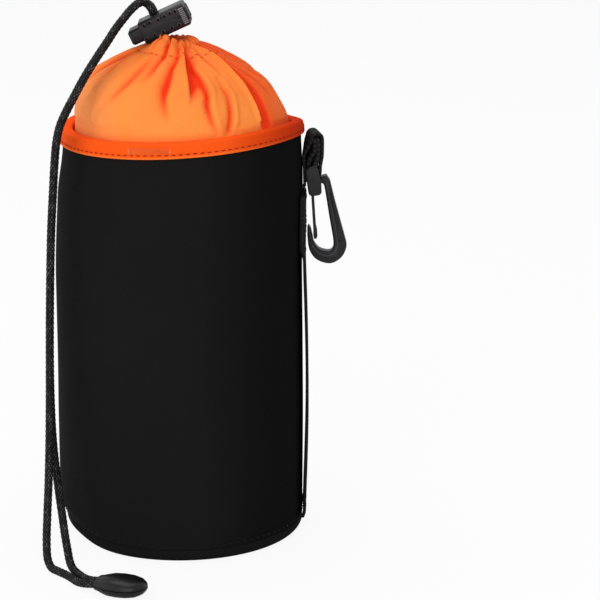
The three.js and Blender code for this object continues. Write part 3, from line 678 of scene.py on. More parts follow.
@finish_once
def black_webbing():
    """Woven tape: rows of weft crossed by lines of warp."""
    finish = Finish("black_webbing", Roughness=0.8, Specular_IOR_Level=0.1)
    where = finish.flat()
    fuzz = finish.noise(where, 1800, 2, 0.6)
    weave = finish.wave(where, 170, "Y") * finish.wave(where, 230, "X")
    finish.colour(finish.blend(weave * 0.7 + fuzz * 0.3, srgb(13, 12, 12), srgb(44, 42, 42)))
    finish.roughness(fuzz * 0.15 + 0.7)
    finish.bump(weave + fuzz * 0.3, 0.3 * MM, 0.7)
    return finish


@finish_once
def black_braid():
    """Polyester braid with random grey spots, painted shade in its hollows and a painted highlight on its crests.
    """
    finish = Finish("black_braid", Roughness=0.65, Specular_IOR_Level=0.12)
    fuzz = finish.noise(finish.here(), 1300, 2, 0.6)
    spots = finish.noise(finish.here(), 520, 1, 0.5)
    # painted highlight on the plait's crests and painted shade in its hollows, with random grey spots
    finish.colour(finish.ramp(finish.mark("crest") * 0.48 + spots * 0.52, [
        (0.4, srgb(7, 7, 7)), (0.58, srgb(34, 33, 34)), (0.72, srgb(104, 101, 101))]))
    finish.roughness(fuzz * 0.2 + 0.5)
    finish.bump(fuzz, 0.08 * MM, 0.5)
    return finish


# Each plastic's light tone, its dark tone and its roughness
PLASTICS = {
    "dark_hook_plastic": (srgb(58, 58, 62), srgb(12, 12, 13), 0.4),
    "dark_lock_plastic": (srgb(44, 38, 44), srgb(12, 10, 13), 0.36),
    # The next three are painted: highlight on the grip ribs, highlight on the dimple rims and the hook's ridge,
    # and shade in the dimples
    "pale_lock_plastic": (srgb(170, 166, 168), srgb(96, 92, 94), 0.42),
    "worn_lock_plastic": (srgb(92, 86, 90), srgb(40, 36, 40), 0.4),
    "lock_dimple_shadow": (srgb(16, 14, 16), srgb(6, 5, 6), 0.5),
    "dark_cord_end_plastic": (srgb(34, 34, 36), srgb(9, 9, 10), 0.26),
}
THREADS = {
    "orange_thread": srgb(232, 84, 30),
    "dark_orange_thread": srgb(168, 40, 12),
    "pale_orange_thread": srgb(255, 168, 104),
    "black_thread": srgb(20, 19, 19),
}


@finish_once
def moulded(name):
    """Moulded plastic with a fine spark texture, and edges paler as wear and as painted highlight."""
    light, dark, gloss = PLASTICS[name]
    finish = Finish(name, Roughness=gloss, Specular_IOR_Level=0.2)
    place = finish.here()
    grain = finish.noise(place, 2600, 2, 0.6)
    slow = finish.noise(place, 180, 3)
    edge = finish.node("ShaderNodeNewGeometry", output="Pointiness")
    # edges are paler, partly as wear and partly as painted highlight
    worn_and_lit = finish.ramp(edge, [(0.5, (0, 0, 0)), (0.58, (0.55, 0.55, 0.55))])
    finish.colour(finish.blend(worn_and_lit * 0.5 + slow * 0.3, dark, light))
    finish.roughness(slow * 0.16 + grain * 0.1 + (gloss - 0.1))
    finish.bump(grain, 0.05 * MM, 0.5)
    return finish


@finish_once
def thread(name):
    """Twisted sewing thread."""
    finish = Finish(name, Roughness=0.6, Specular_IOR_Level=0.12)
    twist = finish.wave(finish.here(), 900, "DIAGONAL")
    finish.colour(finish.blend(twist, tinted(THREADS[name], 0.6), THREADS[name]))
    finish.bump(twist, 0.05 * MM)
    return finish


@finish_once
def pad_foam():
    """Grey foam with open cells."""
    finish = Finish("grey_pad_foam", Roughness=0.95, Specular_IOR_Level=0.2)
    cells = finish.node("ShaderNodeTexVoronoi", inputs={"Vector": finish.here(), "Scale": 900})
    finish.colour(finish.blend(cells, srgb(58, 58, 58), srgb(34, 34, 34)))
    finish.bump(cells, 0.3 * MM, 0.6)
    return finish


@finish_once
def spring_wire():
    """Drawn steel wire."""
    finish = Finish("drawn_spring_wire", Metallic=1.0, Roughness=0.3)
    place = finish.here()
    finish.colour(finish.blend(finish.noise(place, 400), srgb(150, 152, 156), srgb(196, 198, 202)))
    finish.bump(finish.noise(place, 3000), 0.02 * MM)
    return finish


# Stitches and threads, by Geometry Nodes

def joined(tree, kind, setting=None, value=None, **inputs):
    """The first output of a new node, with one setting of it and its inputs given."""
    node = tree.nodes.new(kind)
    if setting:
        setattr(node, setting, value)
    for socket, source in inputs.items():
        slot = node.inputs[socket.replace("_", " ")]
        if hasattr(source, "is_output"):
            tree.links.new(source, slot)
        else:
            slot.default_value = source
    return node.outputs[0] if node.outputs else None


def stitch_row(tree, given, line):
    """Stitches of a given length and thickness, a pitch apart along the guide line."""
    even = joined(tree, "GeometryNodeResampleCurve", "mode", "LENGTH", Curve=line,
                  Length=given["Pitch"])
    bead = joined(tree, "GeometryNodeMeshUVSphere", Segments=6, Rings=5, Radius=0.5)
    run = joined(tree, "FunctionNodeAlignRotationToVector", "axis", "X",
                 Vector=joined(tree, "GeometryNodeInputTangent"))
    size = joined(tree, "ShaderNodeCombineXYZ", X=given["Length"], Y=given["Thickness"],
                  Z=given["Thickness"])
    return joined(tree, "GeometryNodeInstanceOnPoints", Points=even, Instance=bead, Rotation=run,
                  Scale=size)


def thread_line(tree, given, line):
    """A thread that follows the guide line, as in a bartack."""
    ring = joined(tree, "GeometryNodeCurvePrimitiveCircle", Resolution=6, Radius=0.5)
    return joined(tree, "GeometryNodeCurveToMesh", Curve=line, Profile_Curve=ring,
                  Scale=given["Thickness"], Fill_Caps=True)


def sewing_tree(shape, sizes):
    """A geometry tree with named sizes and a material, and its inputs' identifiers."""
    tree = bpy.data.node_groups.new(shape.__name__, "GeometryNodeTree")
    kinds = {"Geometry": "NodeSocketGeometry", "Material": "NodeSocketMaterial"}
    identifiers = {}
    for label in ("Geometry", *sizes, "Material"):
        socket = tree.interface.new_socket(label, in_out="INPUT",
                                           socket_type=kinds.get(label, "NodeSocketFloat"))
        identifiers[label] = socket.identifier
    tree.interface.new_socket("Geometry", in_out="OUTPUT", socket_type="NodeSocketGeometry")
    given = tree.nodes.new("NodeGroupInput").outputs
    line = joined(tree, "GeometryNodeMeshToCurve", Mesh=given["Geometry"])
    real = joined(tree, "GeometryNodeRealizeInstances", Geometry=shape(tree, given, line))
    painted = joined(tree, "GeometryNodeSetMaterial", Geometry=real, Material=given["Material"])
    joined(tree, "NodeGroupOutput", Geometry=painted)
    return tree, identifiers


TREES = {}


def sewn(name, lines, finish, shape, body=ROOT, **sizes):
    """Stitches or thread along guide lines, as one plain mesh on one body."""
    if shape not in TREES:
        TREES[shape] = sewing_tree(shape, sizes)
    tree, identifiers = TREES[shape]
    points, edges = [], []
    for line in lines:
        start = len(points)
        points += [tuple(p) for p in line]
        edges += [(start + i, start + i + 1) for i in range(len(line) - 1)]
    mesh = bpy.data.meshes.new(name)
    mesh.from_pydata(points, edges, [])
    piece = bpy.data.objects.new(name, mesh)
    bpy.context.scene.collection.objects.link(piece)
    modifier = piece.modifiers.new("sewing", "NODES")
    modifier.node_group = tree
    modifier[identifiers["Material"]] = finish
    for label, value in sizes.items():
        modifier[identifiers[label]] = value
    settled(piece)
    for face in piece.data.polygons:
        face.use_smooth = True
    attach(piece, body)
    return piece


# Cords

PLAITS = 8
PLAIT_PITCH = 1.9 * MM
CORD_SIDES = 24
CORD_STEP = 0.3 * MM

# The free tails' routes in millimetres, from the top of the lock to the cord end
FRONT_TAIL = [
    (-9.11, -1.75, 206.4), (-10.2, -1.85, 208.8), (-12.2, -2.6, 210.9), (-14.4, -3.8, 211.1),
    (-17.5, -5.7, 208.8), (-20.1, -8.2, 206.0), (-23.4, -11.2, 202.0), (-26.3, -14.2, 197.8),
    (-29.2, -17.2, 193.8), (-32.5, -20.5, 189.0), (-35.5, -23.2, 184.2), (-38.4, -25.7, 179.0),
    (-41.2, -27.9, 174.0), (-43.6, -29.5, 168.6), (-45.0, -30.3, 162.5), (-45.9, -30.7, 154.0),
    (-46.7, -30.8, 143.0), (-47.6, -30.8, 130.0), (-48.3, -30.8, 115.0), (-48.8, -31.8, 98.0),
    (-49.1, -33.6, 81.0), (-49.3, -36.3, 63.0), (-49.5, -39.6, 47.4), (-49.9, -43.6, 31.0),
    (-50.3, -47.4, 19.7), (-50.5, -50.9, 9.6), (-50.0, -53.6, 4.0), (-48.3, -57.0, 1.75),
    (-45.4, -60.6, 1.6), (-42.2, -64.3, 1.6), (-39.6, -68.2, 1.65), (-37.2, -72.6, 1.95),
    (-34.0, -76.6, 2.8), (-29.47, -79.24, 3.62), (-24.13, -81.96, 3.93),
]
BACK_TAIL = [
    (-9.11, 1.75, 206.4), (-10.2, 1.65, 208.7), (-12.4, 0.9, 210.4), (-14.6, -0.4, 210.4),
    (-17.7, -2.3, 208.1), (-20.3, -4.8, 205.3), (-23.6, -7.8, 201.3), (-26.5, -10.8, 197.1),
    (-29.4, -13.8, 193.1), (-32.7, -17.1, 188.3), (-35.7, -19.8, 183.5), (-38.6, -22.3, 178.3),
    (-41.4, -24.6, 173.2), (-43.9, -26.2, 167.8), (-45.3, -26.9, 161.7), (-46.2, -27.2, 153.5),
    (-47.0, -27.3, 142.5), (-47.9, -27.3, 129.5), (-48.6, -27.3, 114.5), (-49.1, -28.2, 97.5),
    (-49.4, -29.9, 80.5), (-49.3, -32.2, 62.0), (-48.6, -34.7, 45.8), (-46.8, -38.2, 29.0),
    (-45.1, -41.8, 17.8), (-43.9, -45.4, 11.0), (-42.7, -49.2, 6.2), (-41.5, -53.6, 2.8),
    (-39.8, -58.6, 1.65), (-37.4, -63.6, 1.6), (-34.9, -68.2, 1.8), (-32.0, -72.7, 2.6),
    (-27.89, -76.12, 3.62), (-22.54, -78.84, 3.93),
]

CHANNEL_RADIUS = 5.2 * MM
CHANNEL_HEIGHT = 194.6 * MM
CHANNEL_OUTER = 3.3 * MM
CHANNEL_SLOT = math.radians(84)
CHANNEL_STOPS = 13
# Where each strand enters the channel: how far to its side, as a share of the strands'
# spacing, and how high, as a share of the channel's own radius
ENTRY_SIDE = 0.56
ENTRY_RISE = 0.72
# The braid's radius in its hollows and what its crests add, as shares of the plain cord's
BRAID_HOLLOW = 0.97
BRAID_CREST = 0.14
LOCK_TURN = math.radians(25)
LOCK_PLACE = Vector((-7.1, 0, 202.1)) * MM
LOCK_HALF_HEIGHT = 4.45 * MM


def plait(along, angle):
    """The braid's height, from 0 in its hollows to 1 on its crests."""
    turn = math.pi * along / PLAIT_PITCH
    return abs(math.sin(PLAITS * angle / 2 + turn) * math.sin(PLAITS * angle / 2 - turn))


def braided_tube(name, line, node):
    """A braided cord along a line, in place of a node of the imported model."""
    frames = frames_along(line, UP.cross(line[1] - line[0]))
    lengths = run_lengths(line)
    thin = settings().cord_diameter / 2

    def place(row, column):
        angle = 2 * math.pi * column / CORD_SIDES
        crest = plait(lengths[row], angle)
        radius = thin * (BRAID_HOLLOW + BRAID_CREST * crest)
        side, rest = frames[row]
        point = line[row] + side * (radius * math.cos(angle)) + rest * (radius * math.sin(angle))
        return point, (column / CORD_SIDES, lengths[row]), crest

    tube = grid_piece(name, len(line), CORD_SIDES, place, black_braid(), caps=True, marks=("crest",))
    return stands_for(tube, node)


def channel_route():
    """Down out of the lock, once round the hood's channel, and up again."""
    def strand(side):
        shift = Vector((0, side * CORD_SPACING / 2, 0))
        through = [LOCK_PLACE + Vector((-up * math.sin(LOCK_TURN), 0, up * math.cos(LOCK_TURN))) + shift
                   for up in (LOCK_HALF_HEIGHT, 0, -LOCK_HALF_HEIGHT - SEAM_GAP)]
        return through + [Vector((-CHANNEL_RADIUS, side * CORD_SPACING * ENTRY_SIDE,
                                  CHANNEL_HEIGHT + CHANNEL_OUTER * ENTRY_RISE))]

    turns = spread_out(math.pi + CHANNEL_SLOT / 2, 3 * math.pi - CHANNEL_SLOT / 2, CHANNEL_STOPS)
    return (strand(-1) + [around(angle, CHANNEL_RADIUS, CHANNEL_HEIGHT) for angle in turns]
            + strand(1)[::-1])


# The hood

CLOTH_THICKNESS = 0.45 * MM
SKIRT_RADIUS = 41.8 * MM
SKIRT_BOTTOM = 161.0 * MM
HOOD_SHOULDER = 167.6 * MM
HOOD_RISE = 27.4 * MM
# Across from the gathered hem to the skirt, and up from the shoulder to the hem
HOOD_SHARES = [
    (0.979, 0.0), (0.94, 0.153), (0.865, 0.343), (0.772, 0.511),
    (0.67, 0.639), (0.487, 0.785), (0.301, 0.89), (0.118, 0.97), (0.002, 1.0),
]
HOOD_COLUMNS = 440
HOOD_ROWS = 72
CHANNEL_ROWS = 14
SKIRT_ROWS = 7
FOLDS_END = 163.5 * MM
PUCKERS = 17
PUCKER_DEPTH = 0.85 * MM
# The channel's section runs from one angle to another, and is flatter above its middle
CHANNEL_FROM = math.radians(14)
CHANNEL_TO = math.radians(225)
CHANNEL_FLATNESS = 0.8
# Its stitching: how far up the hood it runs, of its length, how wide and how deep
SEAM_CLIMB = 0.8
SEAM_WIDTH = 0.012
SEAM_DENT = 0.3 * MM
# The cloth's girth and run, in metres of its weave
CLOTH_GIRTH = 0.26
CLOTH_RUN = 0.075

# The course of the largest fold, as (share of the way up, degrees round)
LARGE_FOLD = [(0.0, -39.7), (0.11, -39), (0.24, -37.3), (0.47, -37.1), (0.59, -36.5), (0.72, -35.3),
              (0.84, -36), (0.94, -40.7)]
# The folds that show. Each has its course, as (share of the way up, degrees round), its
# depth, its reach on its left and on its right and the lip on its steeper side, all in
# millimetres, and the shares of the way up where it starts, is deepest and ends
SHOWN_FOLDS = [
    # the long one in the middle, steep on its left, with the one that closes its hollow
    ([(0.05, -82.8), (0.27, -80.1), (0.55, -78.9), (0.66, -78.6), (0.8, -77.2), (1.0, -74)],
     4.2, 0.6, 4.0, 1.1, 0.2, 0.58, 1.1),
    ([(0.0, -68.4), (0.09, -69.5), (0.26, -69.6), (0.36, -68), (0.47, -68.6), (0.57, -70.2),
      (0.67, -74.1)],
     2.8, 2.6, 0.8, 0.8, -0.3, 0.35, 0.72),
    # the short one that ends at the tape, steep on its right
    ([(0.0, -60.8), (0.12, -58.2), (0.24, -55.5), (0.34, -54.1), (0.42, -55.3)],
     2.7, 2.4, 0.7, 0.9, -0.5, 0.12, 0.55),
    # the large one at the right and the far side of its hollow
    (LARGE_FOLD, 4.6, 0.5, 5.4, 1.6, -0.9, 0.5, 1.3),
    ([(0.0, -33), (0.16, -31.8), (0.3, -28.6), (0.47, -29.4), (0.59, -27.6), (0.76, -25)],
     1.5, 2.6, 1.0, 0.5, -0.4, 0.3, 0.85),
    # a short one between them, high up
    ([(0.62, -50.9), (0.67, -53.6), (0.75, -56.5), (0.85, -56.3), (0.95, -58)],
     2.4, 0.8, 2.2, 0.7, 0.5, 0.74, 1.0),
    # left of the middle
    ([(0.17, -94.9), (0.33, -96.9), (0.45, -96.2), (0.56, -94.9), (0.67, -93.4), (0.77, -89.3),
      (0.9, -86)],
     3.2, 3.2, 1.9, 0.6, -0.05, 0.5, 0.97),
    ([(0.5, -116), (0.6, -112), (0.72, -110.2), (0.84, -107.6)], 1.7, 2.6, 2.4, 0.1, 0.35, 0.73, 0.98),
    ([(0.15, -141), (0.23, -137.7), (0.32, -133), (0.46, -128), (0.58, -125.3), (0.75, -123)],
     1.9, 1.6, 3.6, 0.4, 0.05, 0.5, 0.85),
    ([(0.1, -163), (0.5, -156.8), (0.65, -158.8), (0.85, -150)], 1.6, 3.4, 2.6, 0.3, 0.0, 0.55, 0.97),
    ([(0.1, -13), (0.5, -15), (0.8, -20)], 1.5, 2.6, 3.2, 0.3, 0.0, 0.5, 1.0),
]
# The others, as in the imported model: degrees round at the shoulder and at the hem, and a
# share of the full depth
OTHER_FOLDS = [
    (-2, -4, 0.75), (17, 15, 0.5), (33, 35, 0.9), (52, 53, 0.6), (69, 71, 0.85), (84, 90, 0.45),
    (103, 107, 0.9), (121, 126, 0.6), (138, 144, 0.8), (157, 162, 0.55), (180, 182, 0.8),
]
FOLD_DEPTH = 3.6                   # in millimetres, at the full depth
FOLD_MARGIN = 18                   # millimetres round the cloth past which a fold isn't felt
# Painted shade in the folds' hollows starts at the first of these depths and is full at the second
SHADE_FROM_PUSH = (0.3 * MM, 2.9 * MM)      # how far in the cloth starts to be a hollow, and is fully one
SOFT_DEPTH = 0.6 * MM              # the cloth's slow unevenness between its folds
# The cloth has slumped on its right, behind the large fold
SLUMP_DEPTH = 2.4 * MM
SLUMP_MIDDLE = math.radians(0)
SLUMP_SPREAD = math.radians(48)
# Its left side is blown out a little, just above the tape
BULGE_DEPTH = 1.0 * MM
BULGE_MIDDLE = math.pi + 0.2
BULGE_SPREAD = 0.7
# Its gathered edge is drawn up and out in front of the lock. The lift starts and ends at
# these distances from the axis, and the edge leans out between these heights
COLLAR_LIFT = 3.3 * MM
COLLAR_LEAN = 0.35
COLLAR_MIDDLE = math.radians(-124)
COLLAR_SPREAD = math.radians(34)
COLLAR_START = (CHANNEL_RADIUS + 1.0 * MM, CHANNEL_RADIUS + 2.4 * MM)
COLLAR_END = (9 * MM, 17 * MM)
COLLAR_HEIGHT = (CHANNEL_HEIGHT - 2 * MM, CHANNEL_HEIGHT + 2 * MM)


def other_folds():
    """The folds round the side and the back, each a little different."""
    folds = []
    for i, (low, high, share) in enumerate(OTHER_FOLDS):
        sway = 4 * noise.noise(Vector((i, 0.3, 0)))
        start = 0.1 * (i % 3) - 0.15
        course = [(0.0, low), (0.45, mix(low, high, 0.45) + sway), (0.95, high)]
        folds.append((course, FOLD_DEPTH * share, 1.0 + 0.5 * (i % 2), 4.5 + 0.8 * (i % 3),
                      0.9 * share, start, 0.42 + 0.06 * (i % 4), 0.99))
    return folds


def folds_at(climb):
    """Each fold that is felt at a share of the way up, as (angle, depth, left, right, lip)."""
    felt = []
    for course, deep, left, right, lip, start, peak, end in ALL_FOLDS:
        if start < climb < end:
            grown = smoothstep(climb, start, peak) * fade(climb, peak, end + 0.2)
            tight = mix(1.0, 0.45, smoothstep(climb, 0.5, 0.95))
            line = math.radians(follow(course, climb))
            felt.append((line, deep * grown, left * tight, right * tight, lip * grown))
    return felt


def fold_push(felt, angle, radius):
    """How far the folds push a point of the cloth in (below 0) or out, in metres."""
    push = 0.0
    for line, deep, left, right, lip in felt:
        off = angle_from(angle, line) * radius / MM
        if abs(off) < FOLD_MARGIN:
            reach = left if off < 0 else right
            push -= deep * (0.5 * bell(off, reach) + 0.5 * math.exp(-abs(off) / (0.6 * reach)))
            steep, crest = (left, off + 2.2 * left) if left < right else (right, off - 2.2 * right)
            push += lip * bell(crest, 1.8 * steep)
    return push * MM


HOOD_ACROSS = [(i, across) for i, (across, _) in enumerate(HOOD_SHARES)]
HOOD_UP = [(i, up) for i, (_, up) in enumerate(HOOD_SHARES)]


def hood_line(climb):
    """The plain cloth's section, at a share of the way from its shoulder to its hem."""
    place = climb * (len(HOOD_SHARES) - 1)
    across, up = follow(HOOD_ACROSS, place), follow(HOOD_UP, place)
    return Vector((mix(CHANNEL_RADIUS + CHANNEL_OUTER, SKIRT_RADIUS, across), 0,
                   HOOD_SHOULDER + HOOD_RISE * up))


def outwards(climb):
    """The direction out of the cloth there."""
    along = hood_line(min(climb + 0.01, 1)) - hood_line(max(climb - 0.01, 0))
    return Vector((along.z, 0, -along.x)).normalized()


def even_climbs(count, fine=200):
    """Shares of the way up that are even in length."""
    lengths = run_lengths([hood_line(i / fine) for i in range(fine + 1)])
    climbs, i = [], 1
    for k in range(count + 1):
        wanted = lengths[-1] * k / count
        while i < fine and lengths[i] < wanted:
            i += 1
        climbs.append((i - 1 + (wanted - lengths[i - 1]) / (lengths[i] - lengths[i - 1])) / fine)
    return climbs


HOOD_CLIMBS = even_climbs(HOOD_ROWS)
HOOD_LINE = [(hood_line(climb), outwards(climb)) for climb in HOOD_CLIMBS]
ALL_FOLDS = SHOWN_FOLDS + other_folds()
HOOD_FOLDS = [folds_at(climb) for climb in HOOD_CLIMBS]


def in_shade(angle, climb):
    """How far the cloth behind the large fold lies in its shade."""
    past = math.degrees(angle_from(angle, math.radians(follow(LARGE_FOLD, climb))))
    return smoothstep(past, -1, 2) * (0.46 + 0.5 * bell(past, 9)) * fade(past, 70, 120)


def pucker(angle, climb):
    """Uneven pleats of the sewn channel, which the cord draws up."""
    place = around(angle, 3, 0)
    turn = PUCKERS * angle + 4 * noise.noise(place)
    uneven = max(0.25, 1 + 1.3 * noise.noise(1.7 * place + UP))
    depth = PUCKER_DEPTH * uneven * smoothstep(climb, SEAM_CLIMB - 0.1, 0.95)
    return -depth * (0.5 + 0.5 * math.cos(turn)) ** 1.3


def skirt_point(share, angle):
    """The straight skirt behind the tape, a share of the way up to the shoulder."""
    height = mix(SKIRT_BOTTOM, HOOD_SHOULDER, share)
    radius = mix(SKIRT_RADIUS, HOOD_LINE[0][0].x, share)
    push = min(fold_push(HOOD_FOLDS[0], angle, radius), 0)
    push *= smoothstep(height, FOLDS_END, HOOD_SHOULDER)
    # painted shade in the folds' hollows and behind the large fold, and a little under the tape
    painted_shade = smoothstep(-push, *SHADE_FROM_PUSH) + in_shade(angle, 0) + 0.1
    return Vector((radius + push, 0, height)), painted_shade


def slope_point(row, angle):
    """The folded slope, from the shoulder up to the channel."""
    climb = HOOD_CLIMBS[row]
    here, out = HOOD_LINE[row]
    push = fold_push(HOOD_FOLDS[row], angle, here.x)
    push = min(push, push * smoothstep(climb, -0.01, 0.06))
    soft = SOFT_DEPTH * noise_around(angle, 4, 5 * climb)
    push += soft * smoothstep(climb, 0, 0.3) * fade(climb, 0.8, 1)
    push += pucker(angle, climb) - SEAM_DENT * bell(climb - SEAM_CLIMB, SEAM_WIDTH)
    bulge = BULGE_DEPTH * near(angle, BULGE_MIDDLE, BULGE_SPREAD)
    push += bulge * smoothstep(climb, 0.0, 0.1) * fade(climb, 0.15, 0.6)
    # painted shade in the folds' hollows and behind the large fold, and redder higher up
    painted_shade = smoothstep(-push, *SHADE_FROM_PUSH) + 0.34 * climb + in_shade(angle, climb)
    slump = SLUMP_DEPTH * near(angle, SLUMP_MIDDLE, SLUMP_SPREAD)
    push -= slump * smoothstep(climb, 0, 0.6) * fade(climb, 0.66, 0.95)
    return here + out * push, painted_shade


def channel_point(turn, angle):
    """The channel round the cord, a share of the way round its section."""
    on_section = mix(CHANNEL_FROM, CHANNEL_TO, turn)
    rise = math.sin(on_section)
    flat = CHANNEL_FLATNESS if rise > 0 else 1
    out = Vector((math.cos(on_section), 0, rise))
    push = pucker(angle, 1.0) * (1 - 0.5 * turn)
    middle = Vector((CHANNEL_RADIUS, 0, CHANNEL_HEIGHT))
    place = middle + CHANNEL_OUTER * Vector((out.x, 0, flat * rise)) + out * push
    # painted shade in the puckers and on the channel's underside
    return place, 0.3 + 0.35 * min(-push / (0.8 * MM), 1.0) + 0.5 * turn


def hood_point(row, angle):
    """A point of the cloth, and how much painted shade its colour gets, row by row from the skirt up."""
    up = row - SKIRT_ROWS
    if up < 0:
        place, painted_shade = skirt_point(row / SKIRT_ROWS, angle)
    elif up <= HOOD_ROWS:
        place, painted_shade = slope_point(up, angle)
    else:
        place, painted_shade = channel_point((up - HOOD_ROWS) / CHANNEL_ROWS, angle)
    if up > 0:
        lifted = COLLAR_LIFT * near(angle, COLLAR_MIDDLE, COLLAR_SPREAD)
        place.z += lifted * smoothstep(place.x, *COLLAR_START) * fade(place.x, *COLLAR_END)
        place.x += COLLAR_LEAN * lifted * smoothstep(place.z, *COLLAR_HEIGHT)
    return lean(around(angle, place.x, place.z)), min(painted_shade, 1.0)


# The straps

BELT_WIDTH = 25 * MM
BELT_BOTTOM, BELT_TOP = (corner.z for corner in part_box("belt_strap"))
BELT_LOOP_BOTTOM = 12 * MM
BELT_LOOP_TOP = 111 * MM
BELT_BOW = 0.75 * MM
BELT_FLAT_BOTTOM = (3 * MM, 9 * MM)
BELT_FLAT_TOP = (111 * MM, 117 * MM)
BELT_ROWS = 180
HOOK_STRAP_WIDTH = 10 * MM
# The hook's webbing lies on the wall up to where it leaves it, and comes down from its crown
HOOK_STRAP_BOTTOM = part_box("hook_strap")[0].z
HOOK_STRAP_SEWN = (142 * MM, 146 * MM)
HOOK_STRAP_LEAVES = 150.5 * MM
HOOK_STRAP_CROWN = 158.0 * MM
HOOK_STRAP_DOWN = 151 * MM
HOOK_STRAP_STEP = 0.4 * MM
BAR = Vector(JOINTS["hook_swing"]["pos_m"])
BAR_WRAP = 1.2 * MM + SEAM_GAP + WEBBING / 2
# The webbing's tail inside the loop: mm off the loop's left side, and the height in mm
LOOP_TAIL = [(-0.45, 147.4), (-0.5, 150), (1.2, 153.5), (1.3, 157.4), (1.92, 158.02), (2.54, 157.4),
             (2.664, 153), (2.168, 147.7)]
# The doubled tail is sewn flat and stands thicker. It swells over these rows past the bar,
# and again over these rows before its end
TAIL_SWELL = 1.35
SWELL_PAST_BAR = (6, 12)
SWELL_BEFORE_END = (4, 14)
# The loop has turned a little on its bar: its left side from the wall up, the rest above
# the bar
LOOP_TWIST = math.radians(12)
TWIST_BESIDE_WALL = (HOOK_STRAP_LEAVES, HOOK_STRAP_CROWN)
TWIST_ABOVE_BAR = (146.2 * MM, 152 * MM)
# The small loops of weft along a webbing's edge
PICOT = 0.16 * MM
PICOT_PITCH = 1.5 * MM
EDGE_ANGLES = [math.radians(angle) for angle in (45, 0, -45)]
# The belt strap's two sewn patches: their half width, and from what height to what
PATCH_SIDE = BELT_WIDTH / 2 - 2 * MM
CROSSED_PATCH = (BELT_LOOP_TOP + 2 * MM, BELT_TOP - 2 * MM)
LOW_PATCH = (BELT_BOTTOM + 1.2 * MM, BELT_LOOP_BOTTOM - 1 * MM)
# The bartack of the hook's webbing: its half width, its heights and its count of corners
TACK_SIDE = 3.6 * MM
TACK_HEIGHTS = (141 * MM, 148 * MM, 23)


def belt_radius(height):
    """The inner face of the belt strap, which bows off the wall between its seams."""
    free = min(max((height - BELT_LOOP_BOTTOM) / (BELT_LOOP_TOP - BELT_LOOP_BOTTOM), 0), 1)
    return follow(WALL_STOPS, height) + SEAM_GAP + BELT_BOW * math.sin(math.pi * free)


def flat_share(height):
    """How flat the belt strap lies across: not at its seams, fully where it is free."""
    return smoothstep(height, *BELT_FLAT_BOTTOM) * fade(height, *BELT_FLAT_TOP)


def strap_section(width, across_steps):
    """The closed outline of a webbing's section as (across, out of the face) points."""
    edge = WEBBING / 2
    half = width / 2 - edge
    face = [(across, edge) for across in spread_out(-half, half, across_steps + 1)]
    face += [(half + edge * math.cos(a), edge * math.sin(a)) for a in EDGE_ANGLES]
    return [(-across, -out) for across, out in face[::-1]] + face[::-1]


def with_picots(across, width, along):
    """A place across a webbing, pulled in between the small loops if it is on an edge."""
    if abs(across) <= width / 2 - WEBBING / 2:
        return across
    return across - math.copysign(PICOT * (1 - abs(math.sin(math.pi * along / PICOT_PITCH))), across)


def beside_wall(height):
    """The middle of the hook's webbing where it is sewn to the wall."""
    return follow(WALL_STOPS, height) + drift_at(height) + 0.5 * SEAM_GAP + WEBBING / 2


def hook_strap_line():
    """The middle line of the hook's webbing: up the wall, over, round the bar and back up."""
    left, right = BAR.x - BAR_WRAP, BAR.x + BAR_WRAP
    on_wall = (HOOK_STRAP_BOTTOM, *HOOK_STRAP_SEWN, HOOK_STRAP_LEAVES)
    line = [(beside_wall(height), height) for height in on_wall]
    line.append((mix(line[-1][0], left, 0.45), (HOOK_STRAP_LEAVES + HOOK_STRAP_CROWN) / 2))
    line += arc((BAR.x, HOOK_STRAP_CROWN), BAR_WRAP, BAR_WRAP, 180, 0, 7)
    line.append((right, HOOK_STRAP_DOWN))
    line += arc((BAR.x, BAR.z), BAR_WRAP, BAR_WRAP, 0, -180, 7)
    line += [(left + off * MM, height * MM) for off, height in LOOP_TAIL]
    return spline([(x, 0, z) for x, z in line], HOOK_STRAP_STEP)


BELT_SECTION = strap_section(BELT_WIDTH, 30)
LOOP_SECTION = strap_section(HOOK_STRAP_WIDTH, 12)


def belt_point(row, column):
    """A point of the belt strap, and its place on the webbing."""
    height = mix(BELT_BOTTOM, BELT_TOP, row / (BELT_ROWS - 1))
    across, out = BELT_SECTION[column]
    across = with_picots(across, BELT_WIDTH, height)
    middle = belt_radius(height) + WEBBING / 2 + out
    point = around(-across / belt_radius(height), middle, height)
    point = point.lerp(Vector((middle, -across, height)), flat_share(height))
    point.x += drift_at(height)
    return point, (across, height)


def on_belt(across, height):
    """A point on the outer face of the belt strap where it is sewn."""
    radius = belt_radius(height)
    point = around(across / radius, radius + WEBBING + 0.05 * MM, height)
    point.x += drift_at(height)
    return point


# The lock and the hook

LOCK_DEPTH = 12.8
# The lock's dimples in millimetres, along its sleeve and up
LOCK_DIMPLES = [
    (-4.8, 2.9), (-2.3, 3.0), (1.1, 2.7), (3.8, 3.0), (6.2, 3.1), (8.3, 2.9), (-6.0, -2.0),
    (-2.6, -2.1), (1.0, -2.3), (4.6, -2.2), (7.6, -2.4),
]
# The lock's spring in millimetres, as in the imported model
SPRING_FROM = 5.95
SPRING_TO = 9.85
SPRING_RADIUS = 1.9
SPRING_TURNS = 3.5
SPRING_STEPS = 70
SPRING_WIRE = 0.5
# The raised line along the front of the hook, pale as a painted highlight: (x, z) in millimetres, and its y
HOOK_RIDGE = [
    (57.0, 141.0), (58.8, 132.2), (60.1, 125.4), (61.3, 118.1), (61.5, 114.9), (60.5, 112.4),
    (58.6, 111.0), (55.9, 111.2), (53.4, 112.8), (51.6, 115.1),
]
RIDGE_FRONT = -2.5


